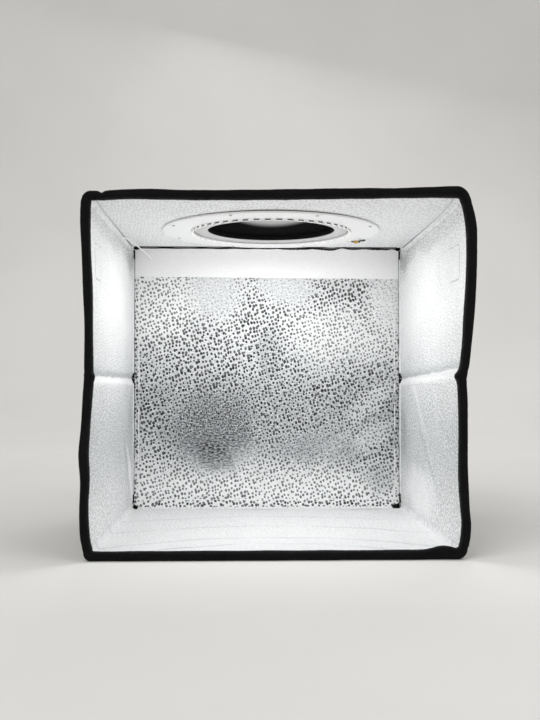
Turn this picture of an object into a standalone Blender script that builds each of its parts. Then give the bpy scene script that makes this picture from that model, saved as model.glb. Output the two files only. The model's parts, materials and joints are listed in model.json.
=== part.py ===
"""Folding light tent for small products: a cube of board-stiffened fabric panels, open to the front.

The frame is metres with +Z up and the open front towards -Y. The origin is under the middle of the
tent, on the surface that it stands on. Each side wall creases inwards at mid-height, so the ceiling
comes straight down on the floor. The back wall folds forward on to the floor.
"""

import math
from collections import namedtuple

import bmesh
import bpy
from mathutils import Matrix, Vector

# The tent over its front binding
WIDTH = 0.240
HEIGHT = 0.229
DEPTH = 0.232

# The layers of a panel, from the outside in
COVER = 0.0005
BOARD = 0.0010
FILM = 0.0005
TURNED_EDGE = 0.0006

# Clearances: between pieces that touch, and between pieces that fold past each other
GAP = 0.0003
FOLD_GAP = 0.0004
OVERRUN = 0.002

# The padded binding round the front opening
BINDING = 0.0056
BINDING_PROUD = 0.0016
BINDING_DEPTH = 0.0080
BINDING_NOSE = 0.0020
BINDING_ROUND = 0.0016
CORNER_ROUND = 0.0045
ROUND_STEPS = 3
ROUND_PROFILE_SHARE = 0.5

# The strip on the back wall that holds a backdrop
STRIP = 0.0008
STRIP_HEIGHT = 0.0250

# The shooting hole and its eyelet
HOLE_RADIUS = 0.0475
EYELET_WALL = 0.0011
EYELET_FLANGE = 0.0026
EYELET_LOWER = 0.0006
HOLE_STEPS = 64

# The ring lamp, from its bore outwards
LAMP_FROM_EYELET = 0.0076
LAMP_BAND = 0.0216
LAMP_BOARD = 0.0012
LAMP_STEPS = 72
BEAD_COUNT = 48
BEAD_FROM_BORE = 0.0034
BEAD_LENGTH = 0.0035
BEAD_WIDTH = 0.0028
BEAD_HEIGHT = 0.0007
BEAD_WINDOW_EDGE = 0.0004
BEAD_WINDOW_DEPTH = 0.0002
BEAD_STRIP = 0.0003
BEAD_STRIP_WIDTH = 0.0044
BEAD_SEAT = 0.0001
RIVET_COUNT = 8
RIVET_FROM_EDGE = 0.0039
RIVET_HEAD_RADIUS = 0.0013
RIVET_HEAD = 0.0005
RIVET_SHANK_RADIUS = 0.0006
RIVET_STEPS = 10
DOME_WIDTH_SHARE = 0.7
DOME_HEIGHT_SHARE = 0.8

# The lamp's contacts, its lead and the gland that the lead leaves by
LEAD_ANGLE = math.radians(31.0)
LEAD_TURN = math.radians(2.2)
LEAD_RADIUS = 0.0005
LEAD_KNEE_SHARE = 0.6
LEAD_STEPS = 8
CONTACT_FROM_EDGE = 0.0059
CONTACT_RADIUS = 0.0012
CONTACT_HEIGHT = 0.0004
GLAND_FROM_LAMP = 0.0041
GLAND_NECK_RADIUS = 0.0026
GLAND_FLANGE_RADIUS = 0.0042
GLAND_COLLAR_RADIUS = 0.0039
GLAND_FLANGE = 0.0006
GLAND_COLLAR = 0.0010
GLAND_STEPS = 20

# The flap over the shooting hole
FLAP = 0.0005
FLAP_MARGIN = 0.0068
FLAP_ROUND = 0.0140
FLAP_TAB_LENGTH = 0.0140
FLAP_TAB_WIDTH = 0.0180
FLAP_TAB_ROUND = 0.0045
FLAP_SEAM_WIDTH = 0.0100
HOOK = 0.0005
HOOK_SIDE = 0.0120
HOOK_EDGE = 0.0030
FLAP_STEPS = 6

# The loop patch sewn on the outside of each side wall
PATCH = 0.0008
PATCH_LENGTH = 0.0370
PATCH_HEIGHT = 0.0210
PATCH_FROM_FRONT = 0.0300
PATCH_BELOW_TOP = 0.0280
PATCH_ROUND = 0.0020

# Circles round the shooting hole
EYELET_NECK_RADIUS = HOLE_RADIUS + EYELET_WALL
EYELET_FLANGE_RADIUS = EYELET_NECK_RADIUS + EYELET_FLANGE
LAMP_BORE_RADIUS = EYELET_FLANGE_RADIUS + LAMP_FROM_EYELET
LAMP_RADIUS = LAMP_BORE_RADIUS + LAMP_BAND
BEAD_CIRCLE = LAMP_BORE_RADIUS + BEAD_FROM_BORE
RIVET_CIRCLE = LAMP_RADIUS - RIVET_FROM_EDGE
CONTACT_CIRCLE = LAMP_RADIUS - CONTACT_FROM_EDGE
GLAND_CIRCLE = LAMP_RADIUS + GLAND_FROM_LAMP
FLAP_HALF = EYELET_FLANGE_RADIUS + FLAP_MARGIN

# Across a panel
PANEL = COVER + GAP + BOARD + GAP + FILM
BOARD_FROM = COVER + GAP
BOARD_TO = BOARD_FROM + BOARD
FILM_FROM = PANEL - FILM
BINDING_INSIDE = BINDING - BINDING_PROUD - PANEL

# Across the tent
OUTER_X = WIDTH / 2 - BINDING_PROUD
INNER_X = OUTER_X - PANEL
TOP_Z = HEIGHT - BINDING_PROUD
CEILING_Z = TOP_Z - PANEL
FLOOR_Z = PANEL

# Along the tent
FRONT_Y = -DEPTH / 2
BINDING_REAR_Y = FRONT_Y + BINDING_DEPTH
COVER_FRONT_Y = BINDING_REAR_Y + GAP
BOARD_FRONT_Y = FRONT_Y + BINDING_NOSE + GAP
REAR_Y = DEPTH / 2
BACK_FILM_Y = REAR_Y - PANEL
WALL_REAR_Y = BACK_FILM_Y - GAP - STRIP - FOLD_GAP

# Heights under the ceiling
LAMP_TOP_Z = CEILING_Z - GAP
LAMP_BOTTOM_Z = LAMP_TOP_Z - LAMP_BOARD
STRIP_TOP_Z = LAMP_BOTTOM_Z - GAP
BEAD_TOP_Z = STRIP_TOP_Z - BEAD_STRIP
BEAD_BOTTOM_Z = BEAD_TOP_Z - BEAD_HEIGHT
LEAD_Z = LAMP_BOTTOM_Z - GAP - LEAD_RADIUS
BOARD_TOP_Z = TOP_Z - BOARD_FROM
GLAND_BOTTOM_Z = CEILING_Z - GAP - GLAND_FLANGE
LOWEST_LAMP_Z = min(BEAD_BOTTOM_Z, LEAD_Z - LEAD_RADIUS)

# The fold: the walls turn about their inner edges and crease just outside their outer faces
BACK_AXIS_Z = FLOOR_Z + FOLD_GAP + GAP + STRIP
LOWER_AXIS_Z = max(BINDING + FOLD_GAP + BINDING_INSIDE, BACK_AXIS_Z + PANEL + FOLD_GAP)
UPPER_AXIS_Z = min(HEIGHT - BINDING - FOLD_GAP - BINDING_INSIDE, LOWEST_LAMP_Z - FOLD_GAP)
CREASE_Z = (LOWER_AXIS_Z + UPPER_AXIS_Z) / 2
CREASE_X = WIDTH / 2 + FOLD_GAP / 2

# The back wall swings forward under the lamp and lies between the wall rims, behind the binding
BACK_HALF_WIDTH = INNER_X - FOLD_GAP
SWING_TO_LAMP = math.hypot(LOWEST_LAMP_Z - FOLD_GAP - BACK_AXIS_Z, BACK_FILM_Y - LAMP_RADIUS)
BACK_REACH = math.sqrt(SWING_TO_LAMP**2 - PANEL**2)
BACK_HEIGHT = min(BACK_REACH, CEILING_Z - FOLD_GAP - BACK_AXIS_Z)
BACK_TOP_Z = BACK_AXIS_Z + BACK_HEIGHT

# Above the ceiling
HOOK_Z = TOP_Z + GAP
FLAP_Z = HOOK_Z + HOOK + GAP
FLAP_AXIS_X = -FLAP_HALF - GAP / 2
FLAP_AXIS_Z = FLAP_Z + FLAP / 2

FULL_TURN = 2 * math.pi
RIGHT_ANGLE = math.pi / 2
SMOOTH_ANGLE = math.radians(40.0)
FACING_UP = 0.9

# A panel lies in its own frame: its outer face is at height zero and its inside is up.
# The rim is the part of its width, at either side, that its board and film leave free.
Panel = namedtuple("Panel", "name turn low high rim pivot")

# The frame of a floor or ceiling binding: what turns it into place, and how far in its panel lies
EndFrame = namedtuple("EndFrame", "turn proud")


def clear_scene():
    for item in list(bpy.data.objects):
        bpy.data.objects.remove(item)
    for blocks in (bpy.data.meshes, bpy.data.curves, bpy.data.materials):
        for block in list(blocks):
            blocks.remove(block)


def make_material(name, colour, roughness, metallic=0.0):
    material = bpy.data.materials.new(name)
    material.use_nodes = True
    material.diffuse_color = (*colour, 1.0)
    shader = material.node_tree.nodes["Principled BSDF"]
    shader.inputs["Base Color"].default_value = (*colour, 1.0)
    shader.inputs["Roughness"].default_value = roughness
    shader.inputs["Metallic"].default_value = metallic
    return material


def make_pivot(name, place):
    """An empty on a joint's axis, which carries the pieces that turn about it."""
    pivot = bpy.data.objects.new(name, None)
    pivot.location = place
    bpy.context.scene.collection.objects.link(pivot)
    bpy.context.view_layer.update()
    return pivot


def carry(item, pivot):
    """Hang an object from a pivot, with its own origin on the pivot's axis."""
    if pivot is None:
        return item
    if isinstance(item.data, bpy.types.Mesh):
        item.data.transform(Matrix.Translation(-pivot.location))
    else:
        item.location = -pivot.location
    item.parent = pivot
    return item


def make_object(name, form, material, pivot=None):
    mesh = bpy.data.meshes.new(name)
    form.to_mesh(mesh)
    form.free()
    item = bpy.data.objects.new(name, mesh)
    item.data.materials.append(material)
    bpy.context.scene.collection.objects.link(item)
    return carry(item, pivot)


def make_cutter(name, form, pivot=None):
    mesh = bpy.data.meshes.new(name)
    form.to_mesh(mesh)
    form.free()
    cutter = bpy.data.objects.new(name, mesh)
    cutter.hide_render = True
    cutter.display_type = "WIRE"
    bpy.context.scene.collection.objects.link(cutter)
    return carry(cutter, pivot)


def cut(item, cutter, operation="DIFFERENCE"):
    modifier = item.modifiers.new(f"{operation.lower()} {cutter.name}", "BOOLEAN")
    modifier.operation = operation
    modifier.solver = "EXACT"
    modifier.object = cutter


def shade_round(item):
    item.data.shade_smooth()
    item.data.set_sharp_from_angle(angle=SMOOTH_ANGLE)


def add_box(form, low, high):
    low, high = Vector(low), Vector(high)
    stretch = Matrix.Diagonal((*(high - low), 1.0))
    bmesh.ops.create_cube(form, size=1.0, matrix=Matrix.Translation((low + high) / 2) @ stretch)


def box_form(low, high):
    form = bmesh.new()
    add_box(form, low, high)
    return form


def add_cylinder(form, radius, low_z, high_z, middle=(0.0, 0.0), steps=HOLE_STEPS):
    place = Matrix.Translation((middle[0], middle[1], (low_z + high_z) / 2))
    bmesh.ops.create_cone(
        form,
        cap_ends=True,
        segments=steps,
        radius1=radius,
        radius2=radius,
        depth=high_z - low_z,
        matrix=place,
    )


def add_prism(form, outline, direction):
    """Extrude a closed flat outline along a direction."""
    corners = [form.verts.new(point) for point in outline]
    face = form.faces.new(corners)
    made = bmesh.ops.extrude_face_region(form, geom=[face])["geom"]
    moved = [part for part in made if isinstance(part, bmesh.types.BMVert)]
    bmesh.ops.translate(form, verts=moved, vec=Vector(direction))
    bmesh.ops.recalc_face_normals(form, faces=form.faces)


def arc(middle, radius, start, end, steps):
    """Points of an arc in a flat outline, both ends included."""
    angles = [start + (end - start) * k / steps for k in range(steps + 1)]
    return [(middle[0] + radius * math.cos(a), middle[1] + radius * math.sin(a)) for a in angles]


def rounded_outline(low, high, radius, steps):
    """A rectangle with round corners, from its lower left corner round to the left side again."""
    corners = (
        (high[0] - radius, low[1] + radius, -RIGHT_ANGLE),
        (high[0] - radius, high[1] - radius, 0.0),
        (low[0] + radius, high[1] - radius, RIGHT_ANGLE),
        (low[0] + radius, low[1] + radius, 2 * RIGHT_ANGLE),
    )
    points = []
    for x, y, start in corners:
        points += arc((x, y), radius, start, start + RIGHT_ANGLE, steps)
    return points


def ring_form(profile, steps, middle=(0.0, 0.0)):
    """Turn a closed profile of (radius, height) points about a vertical line."""
    form = bmesh.new()
    rings = []
    for k in range(steps):
        angle = FULL_TURN * k / steps
        along = Vector((math.cos(angle), math.sin(angle)))
        ring = []
        for radius, z in profile:
            ring.append(form.verts.new((middle[0] + radius * along.x, middle[1] + radius * along.y, z)))
        rings.append(ring)
    for k in range(steps):
        here, after = rings[k], rings[(k + 1) % steps]
        for i in range(len(profile)):
            j = (i + 1) % len(profile)
            form.faces.new((here[i], after[i], after[j], here[j]))
    bmesh.ops.recalc_face_normals(form, faces=form.faces)
    return form


def sink_face(form, height, edge, depth):
    """Inset the flat face that looks up at this height, and push it down to make a tray."""
    form.normal_update()
    faces = [
        face
        for face in form.faces
        if face.normal.z > FACING_UP and abs(face.calc_center_median().z - height) < GAP / 2
    ]
    bmesh.ops.inset_region(form, faces=faces, thickness=edge, use_even_offset=True)
    made = bmesh.ops.extrude_face_region(form, geom=faces)["geom"]
    moved = [part for part in made if isinstance(part, bmesh.types.BMVert)]
    bmesh.ops.translate(form, verts=moved, vec=(0.0, 0.0, -depth))
    bmesh.ops.delete(form, geom=faces, context="FACES")


def inside_of(panel, inset):
    """The corners of what lies inside a panel's turned edges, drawn in by an inset."""
    low = (panel.low[0] + panel.rim + inset, panel.low[1] + inset)
    high = (panel.high[0] - panel.rim - inset, panel.high[1] - inset)
    return low, high


def panel_cover(panel, material):
    """The outer fabric, turned up round the panel's edges like a shallow tray."""
    form = box_form((*panel.low, 0.0), (*panel.high, PANEL))
    form.transform(panel.turn)
    cover = make_object(f"{panel.name}_cover", form, material, panel.pivot)
    low, high = inside_of(panel, TURNED_EDGE)
    pocket = box_form((*low, COVER), (*high, PANEL + OVERRUN))
    pocket.transform(panel.turn)
    cut(cover, make_cutter(f"{panel.name}_pocket", pocket, panel.pivot))
    return cover


def panel_layer(panel, layer, start, end, material, front=None):
    """A flat layer inside the turned edge, which may reach forward into the binding."""
    low, high = inside_of(panel, TURNED_EDGE + GAP)
    front_y = low[1] if front is None else front
    form = box_form((low[0], front_y, start), (*high, end))
    form.transform(panel.turn)
    return make_object(f"{panel.name}_{layer}", form, material, panel.pivot)


def open_front(cover, panel):
    """A slot in the cover's front edge, where the board passes into the binding."""
    low, high = inside_of(panel, TURNED_EDGE)
    start = (low[0], panel.low[1] - OVERRUN, BOARD_FROM - GAP)
    end = (high[0], low[1] + OVERRUN, BOARD_TO + GAP)
    form = box_form(start, end)
    form.transform(panel.turn)
    cut(cover, make_cutter(f"{panel.name}_front_slot", form, panel.pivot))


def make_panel(panel, looks, front=BOARD_FRONT_Y):
    """The cover, the stiffening board and the film lining of one panel."""
    cover = panel_cover(panel, looks["shell"])
    board = panel_layer(panel, "board", BOARD_FROM, BOARD_TO, looks["board"], front)
    lining = panel_layer(panel, "lining", FILM_FROM, PANEL, looks["film"])
    if front is not None:
        open_front(cover, panel)
    return cover, board, lining


def make_gussets(name, low_z, high_z, looks, pivot=None):
    """The side strips of shell fabric that hold the walls' folds clear of the floor or the ceiling."""
    for word, side in (("left", -1), ("right", 1)):
        across = sorted((side * INNER_X, side * OUTER_X))
        form = box_form((across[0], COVER_FRONT_Y, low_z), (across[1], WALL_REAR_Y, high_z))
        make_object(f"{name}_{word}_gusset", form, looks["shell"], pivot)


def bound(name, outline, slot_low, slot_high, material, pivot=None):
    """A padded binding: its front outline drawn back in depth, round in front, slotted behind."""
    form = bmesh.new()
    add_prism(form, [(x, FRONT_Y, z) for x, z in outline], (0.0, BINDING_DEPTH, 0.0))
    nose = [
        edge
        for edge in form.edges
        if all(abs(corner.co.y - FRONT_Y) < GAP / 2 for corner in edge.verts)
    ]
    bmesh.ops.bevel(
        form,
        geom=nose,
        offset=BINDING_ROUND,
        segments=ROUND_STEPS,
        profile=ROUND_PROFILE_SHARE,
        affect="EDGES",
        clamp_overlap=True,
    )
    item = make_object(name, form, material, pivot)
    cut(item, make_cutter(f"{name}_slot", box_form(slot_low, slot_high), pivot))
    return item


def end_binding(name, reach, frame, material, pivot=None):
    """The binding of the floor or the ceiling, whose ends turn up to meet the wall bindings."""
    half, ear = WIDTH / 2, INNER_X + GAP
    outline = [(half, reach), (ear, reach), (ear, BINDING), (-ear, BINDING), (-ear, reach), (-half, reach)]
    left = (-half + CORNER_ROUND, CORNER_ROUND)
    right = (half - CORNER_ROUND, CORNER_ROUND)
    outline += arc(left, CORNER_ROUND, -2 * RIGHT_ANGLE, -RIGHT_ANGLE, FLAP_STEPS)
    outline += arc(right, CORNER_ROUND, -RIGHT_ANGLE, 0.0, FLAP_STEPS)
    corners = [frame.turn @ Vector((x, 0.0, z)) for x, z in outline]
    slot_x = INNER_X - TURNED_EDGE
    slot_z = (frame.proud + BOARD_FROM - GAP, frame.proud + BOARD_TO + GAP)
    across = [frame.turn @ Vector((side * slot_x, 0.0, z)) for side, z in zip((-1, 1), slot_z)]
    low = (-slot_x, FRONT_Y + BINDING_NOSE, min(point.z for point in across))
    high = (slot_x, BINDING_REAR_Y + OVERRUN, max(point.z for point in across))
    return bound(name, [(corner.x, corner.z) for corner in corners], low, high, material, pivot)


def wall_binding(name, side, low_z, high_z, material, pivot):
    """The binding of one wall half: side is -1 on the left and 1 on the right."""
    outer = side * WIDTH / 2
    inner = side * (WIDTH / 2 - BINDING)
    outline = [(outer, low_z), (inner, low_z), (inner, high_z), (outer, high_z)]
    slot_x = sorted((side * (OUTER_X - COVER), side * (OUTER_X - BOARD_TO - GAP)))
    low = (slot_x[0], FRONT_Y + BINDING_NOSE, low_z - OVERRUN)
    high = (slot_x[1], BINDING_REAR_Y + OVERRUN, high_z + OVERRUN)
    return bound(name, outline, low, high, material, pivot)


def make_floor(looks):
    low = (-OUTER_X, COVER_FRONT_Y)
    high = (OUTER_X, REAR_Y)
    make_panel(Panel("bottom", Matrix.Identity(4), low, high, PANEL, None), looks)
    make_gussets("bottom", PANEL + GAP, LOWER_AXIS_Z, looks)
    low = (-BACK_HALF_WIDTH, BACK_FILM_Y, PANEL + GAP)
    high = (BACK_HALF_WIDTH, REAR_Y, BACK_AXIS_Z - GAP)
    make_object("bottom_rear_gusset", box_form(low, high), looks["shell"])
    frame = EndFrame(Matrix.Identity(4), 0.0)
    end_binding("bottom_binding", LOWER_AXIS_Z, frame, looks["binding"])


def make_back(looks, pivot):
    """The back wall is flat and uncreased, and carries the strip that a backdrop is pressed on to."""
    turn = Matrix.Translation((0.0, REAR_Y, 0.0)) @ Matrix.Rotation(RIGHT_ANGLE, 4, "X")
    low = (-BACK_HALF_WIDTH, BACK_AXIS_Z)
    high = (BACK_HALF_WIDTH, BACK_TOP_Z)
    panel = Panel("back", turn, low, high, 0.0, pivot)
    make_panel(panel, looks, front=None)
    low, high = inside_of(panel, TURNED_EDGE + GAP)
    start = PANEL + GAP
    form = box_form((low[0], high[1] - STRIP_HEIGHT, start), (*high, start + STRIP))
    form.transform(turn)
    make_object("backdrop_strip", form, looks["strip"], pivot)


def make_wall_half(name, side, low_z, high_z, looks, pivot):
    turn = Matrix.Translation((side * OUTER_X, 0.0, 0.0)) @ Matrix.Rotation(-side * RIGHT_ANGLE, 4, "Y")
    across = sorted((side * low_z, side * high_z))
    panel = Panel(name, turn, (across[0], COVER_FRONT_Y), (across[1], WALL_REAR_Y), 0.0, pivot)
    make_panel(panel, looks)
    wall_binding(f"{name}_binding", side, low_z, high_z, looks["binding"], pivot)


def make_patch(name, side, looks, pivot):
    """A loop patch on the outside of a wall, where a strap or a closing tab is pressed on."""
    front = FRONT_Y + PATCH_FROM_FRONT
    top = HEIGHT - PATCH_BELOW_TOP
    low = (front, top - PATCH_HEIGHT)
    high = (front + PATCH_LENGTH, top)
    outline = rounded_outline(low, high, PATCH_ROUND, ROUND_STEPS)
    form = bmesh.new()
    start = side * (OUTER_X + GAP)
    add_prism(form, [(start, y, z) for y, z in outline], (side * PATCH, 0.0, 0.0))
    make_object(name, form, looks["loop"], pivot)


def lead_place():
    return Vector((math.cos(LEAD_ANGLE), math.sin(LEAD_ANGLE)))


def ceiling_cutters(pivot):
    """The holes that go up through the ceiling: the shooting hole, the gland and the lamp's rivets."""
    below, above = LOWEST_LAMP_Z - OVERRUN, TOP_Z + OVERRUN
    holes = bmesh.new()
    add_cylinder(holes, EYELET_NECK_RADIUS + GAP, below, above)
    gland = lead_place() * GLAND_CIRCLE
    add_cylinder(holes, GLAND_NECK_RADIUS + GAP, below, above, gland, GLAND_STEPS)
    rivets = bmesh.new()
    for angle in rivet_angles():
        middle = (RIVET_CIRCLE * math.cos(angle), RIVET_CIRCLE * math.sin(angle))
        add_cylinder(rivets, RIVET_SHANK_RADIUS + GAP, below, BOARD_TOP_Z + GAP / 2, middle, RIVET_STEPS)
    return make_cutter("ceiling_holes", holes, pivot), make_cutter("rivet_holes", rivets, pivot)


def rivet_angles():
    return [FULL_TURN * (k + 0.5) / RIVET_COUNT for k in range(RIVET_COUNT)]


def make_ceiling(looks, pivot):
    turn = Matrix.Translation((0.0, 0.0, TOP_Z)) @ Matrix.Rotation(math.pi, 4, "Y")
    low = (-OUTER_X, COVER_FRONT_Y)
    high = (OUTER_X, WALL_REAR_Y)
    cover, board, lining = make_panel(Panel("top", turn, low, high, PANEL, pivot), looks)
    holes, rivets = ceiling_cutters(pivot)
    for item in (cover, board, lining):
        cut(item, holes)
    for item in (board, lining):
        cut(item, rivets)
    make_gussets("top", UPPER_AXIS_Z, CEILING_Z - GAP, looks, pivot)
    over = Matrix.Translation((0.0, 0.0, HEIGHT)) @ Matrix.Rotation(math.pi, 4, "Y")
    frame = EndFrame(over, BINDING_PROUD)
    end_binding("top_binding", HEIGHT - UPPER_AXIS_Z, frame, looks["binding"], pivot)
    return rivets


def make_lamp(looks, pivot, rivet_holes):
    """The ring lamp: an annular board under the ceiling with a circle of beads near its bore."""
    profile = [
        (LAMP_BORE_RADIUS, LAMP_BOTTOM_Z),
        (LAMP_RADIUS, LAMP_BOTTOM_Z),
        (LAMP_RADIUS, LAMP_TOP_Z),
        (LAMP_BORE_RADIUS, LAMP_TOP_Z),
    ]
    board = make_object("lamp_board", ring_form(profile, LAMP_STEPS), looks["lamp"], pivot)
    shade_round(board)
    cut(board, rivet_holes)
    strip_low = BEAD_CIRCLE - BEAD_STRIP_WIDTH / 2
    strip_high = BEAD_CIRCLE + BEAD_STRIP_WIDTH / 2
    profile = [
        (strip_low, BEAD_TOP_Z),
        (strip_high, BEAD_TOP_Z),
        (strip_high, STRIP_TOP_Z),
        (strip_low, STRIP_TOP_Z),
    ]
    strip = make_object("bead_strip", ring_form(profile, LAMP_STEPS), looks["bead"], pivot)
    beads = bmesh.new()
    for k in range(BEAD_COUNT):
        add_bead(beads, FULL_TURN * k / BEAD_COUNT)
    cut(strip, make_cutter("beads", beads, pivot), "UNION")
    for k, angle in enumerate(rivet_angles()):
        form = bmesh.new()
        add_rivet(form, (RIVET_CIRCLE * math.cos(angle), RIVET_CIRCLE * math.sin(angle)))
        shade_round(make_object(f"lamp_rivet_{k + 1}", form, looks["rivet"], pivot))


def add_bead(form, angle):
    """One lamp bead: a small block on the strip, whose window is sunk into its underside."""
    bead = box_form(
        (-BEAD_WIDTH / 2, -BEAD_LENGTH / 2, -BEAD_SEAT),
        (BEAD_WIDTH / 2, BEAD_LENGTH / 2, BEAD_HEIGHT),
    )
    sink_face(bead, BEAD_HEIGHT, BEAD_WINDOW_EDGE, BEAD_WINDOW_DEPTH)
    over = Matrix.Translation((0.0, 0.0, BEAD_TOP_Z)) @ Matrix.Rotation(math.pi, 4, "X")
    out = Matrix.Rotation(angle, 4, "Z") @ Matrix.Translation((BEAD_CIRCLE, 0.0, 0.0))
    bead.transform(out @ over)
    made = bpy.data.meshes.new("bead")
    bead.to_mesh(made)
    bead.free()
    form.from_mesh(made)
    bpy.data.meshes.remove(made)


def add_rivet(form, middle):
    """A rivet turned as one profile: a domed head under the lamp and a shank up into the board."""
    head_z = LAMP_BOTTOM_Z - GAP
    profile = [
        (0.0, head_z - RIVET_HEAD),
        (RIVET_HEAD_RADIUS * DOME_WIDTH_SHARE, head_z - RIVET_HEAD * DOME_HEIGHT_SHARE),
        (RIVET_HEAD_RADIUS, head_z),
        (RIVET_SHANK_RADIUS, head_z),
        (RIVET_SHANK_RADIUS, BOARD_TOP_Z),
        (0.0, BOARD_TOP_Z),
    ]
    add_turned(form, profile, middle, RIVET_STEPS)


def add_turned(form, profile, middle, steps):
    """Turn an open profile whose two ends lie on the axis into a solid."""
    start = form.verts.new((*middle, profile[0][1]))
    end = form.verts.new((*middle, profile[-1][1]))
    rings = []
    for k in range(steps):
        angle = FULL_TURN * k / steps
        x, y = math.cos(angle), math.sin(angle)
        ring = []
        for radius, z in profile[1:-1]:
            ring.append(form.verts.new((middle[0] + radius * x, middle[1] + radius * y, z)))
        rings.append(ring)
    faces = []
    for k in range(steps):
        here, after = rings[k], rings[(k + 1) % steps]
        faces.append(form.faces.new((start, after[0], here[0])))
        faces.append(form.faces.new((end, here[-1], after[-1])))
        for i in range(len(here) - 1):
            faces.append(form.faces.new((here[i], after[i], after[i + 1], here[i + 1])))
    bmesh.ops.recalc_face_normals(form, faces=faces)


def make_contacts(looks, pivot):
    """Two solder contacts on the lamp board, beside each other where its lead starts."""
    high_z = LAMP_BOTTOM_Z - GAP
    profile = [
        (0.0, high_z - CONTACT_HEIGHT),
        (CONTACT_RADIUS * DOME_WIDTH_SHARE, high_z - CONTACT_HEIGHT * DOME_HEIGHT_SHARE),
        (CONTACT_RADIUS, high_z),
        (0.0, high_z),
    ]
    for word, turn in (("front", -LEAD_TURN), ("rear", LEAD_TURN)):
        angle = LEAD_ANGLE + turn
        middle = (CONTACT_CIRCLE * math.cos(angle), CONTACT_CIRCLE * math.sin(angle))
        form = bmesh.new()
        add_turned(form, profile, middle, RIVET_STEPS)
        shade_round(make_object(f"lamp_contact_{word}", form, looks["contact"], pivot))


def make_lead(looks, pivot):
    """The lamp's lead: out over the edge of its board, then up through the gland."""
    out = lead_place()
    start = Vector((CONTACT_CIRCLE + CONTACT_RADIUS + GAP, LEAD_Z))
    corner = Vector((GLAND_CIRCLE, LEAD_Z))
    mouth = Vector((GLAND_CIRCLE, GLAND_BOTTOM_Z))
    route = [start]
    for k in range(LEAD_STEPS + 1):
        t = k / LEAD_STEPS
        knee = start.lerp(corner, LEAD_KNEE_SHARE)
        route.append(knee.lerp(corner, t).lerp(corner.lerp(mouth, t), t))
    route.append(Vector((GLAND_CIRCLE, FLAP_Z)))
    curve = bpy.data.curves.new("lamp_lead", "CURVE")
    curve.dimensions = "3D"
    curve.bevel_depth = LEAD_RADIUS
    curve.bevel_resolution = 2
    curve.use_fill_caps = True
    spline = curve.splines.new("POLY")
    spline.points.add(len(route) - 1)
    for point, place in zip(spline.points, route):
        point.co = (out.x * place.x, out.y * place.x, place.y, 1.0)
    lead = bpy.data.objects.new("lamp_lead", curve)
    lead.data.materials.append(looks["lead"])
    bpy.context.scene.collection.objects.link(lead)
    carry(lead, pivot)


def make_gland(looks, pivot):
    """A rubber gland, gripped by the ceiling between its two flanges, with the lead in its bore."""
    bore = LEAD_RADIUS + GAP
    lower = GLAND_BOTTOM_Z + GLAND_FLANGE
    upper = TOP_Z + GAP
    profile = [
        (bore, GLAND_BOTTOM_Z),
        (GLAND_FLANGE_RADIUS, GLAND_BOTTOM_Z),
        (GLAND_FLANGE_RADIUS, lower),
        (GLAND_NECK_RADIUS, lower),
        (GLAND_NECK_RADIUS, upper),
        (GLAND_FLANGE_RADIUS, upper),
        (GLAND_COLLAR_RADIUS, upper + GLAND_COLLAR),
        (bore, upper + GLAND_COLLAR),
    ]
    form = ring_form(profile, GLAND_STEPS, lead_place() * GLAND_CIRCLE)
    shade_round(make_object("lead_gland", form, looks["gland"], pivot))


def make_eyelet(looks, pivot):
    """The eyelet that finishes the shooting hole, with a flange under and over the ceiling."""
    lower = CEILING_Z - GAP
    upper = TOP_Z + GAP
    profile = [
        (HOLE_RADIUS, lower - EYELET_LOWER),
        (EYELET_FLANGE_RADIUS, lower - EYELET_LOWER),
        (EYELET_FLANGE_RADIUS, lower),
        (EYELET_NECK_RADIUS, lower),
        (EYELET_NECK_RADIUS, upper),
        (EYELET_FLANGE_RADIUS, upper),
        (EYELET_FLANGE_RADIUS, upper + HOOK),
        (HOLE_RADIUS, upper + HOOK),
    ]
    shade_round(make_object("hole_eyelet", ring_form(profile, HOLE_STEPS), looks["eyelet"], pivot))


def make_flap(looks, top, pivot):
    """The flap over the shooting hole, with its pull tab, its seam and the hook patches under it."""
    half = FLAP_HALF
    outline = rounded_outline((-half, -half), (half, half), FLAP_ROUND, FLAP_STEPS)
    form = bmesh.new()
    add_prism(form, [(x, y, FLAP_Z) for x, y in outline], (0.0, 0.0, FLAP))
    make_object("hole_flap", form, looks["shell"], pivot)
    tab = rounded_outline(
        (half + GAP, -FLAP_TAB_WIDTH / 2),
        (half + FLAP_TAB_LENGTH, FLAP_TAB_WIDTH / 2),
        FLAP_TAB_ROUND,
        FLAP_STEPS,
    )
    form = bmesh.new()
    add_prism(form, [(x, y, FLAP_Z) for x, y in tab], (0.0, 0.0, FLAP))
    make_object("flap_tab", form, looks["binding"], pivot)
    seam_end = FLAP_AXIS_X - GAP / 2
    low = (seam_end - FLAP_SEAM_WIDTH, -half + FLAP_ROUND, TOP_Z + GAP)
    form = box_form(low, (seam_end, half - FLAP_ROUND, TOP_Z + GAP + HOOK))
    make_object("flap_seam", form, looks["binding"], top)
    inner = half - HOOK_EDGE - HOOK_SIDE
    for word, side in (("front", -1), ("rear", 1)):
        across = sorted((side * inner, side * (inner + HOOK_SIDE)))
        form = box_form((inner, across[0], HOOK_Z), (inner + HOOK_SIDE, across[1], HOOK_Z + HOOK))
        make_object(f"hook_patch_{word}", form, looks["hook"], top)


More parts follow.
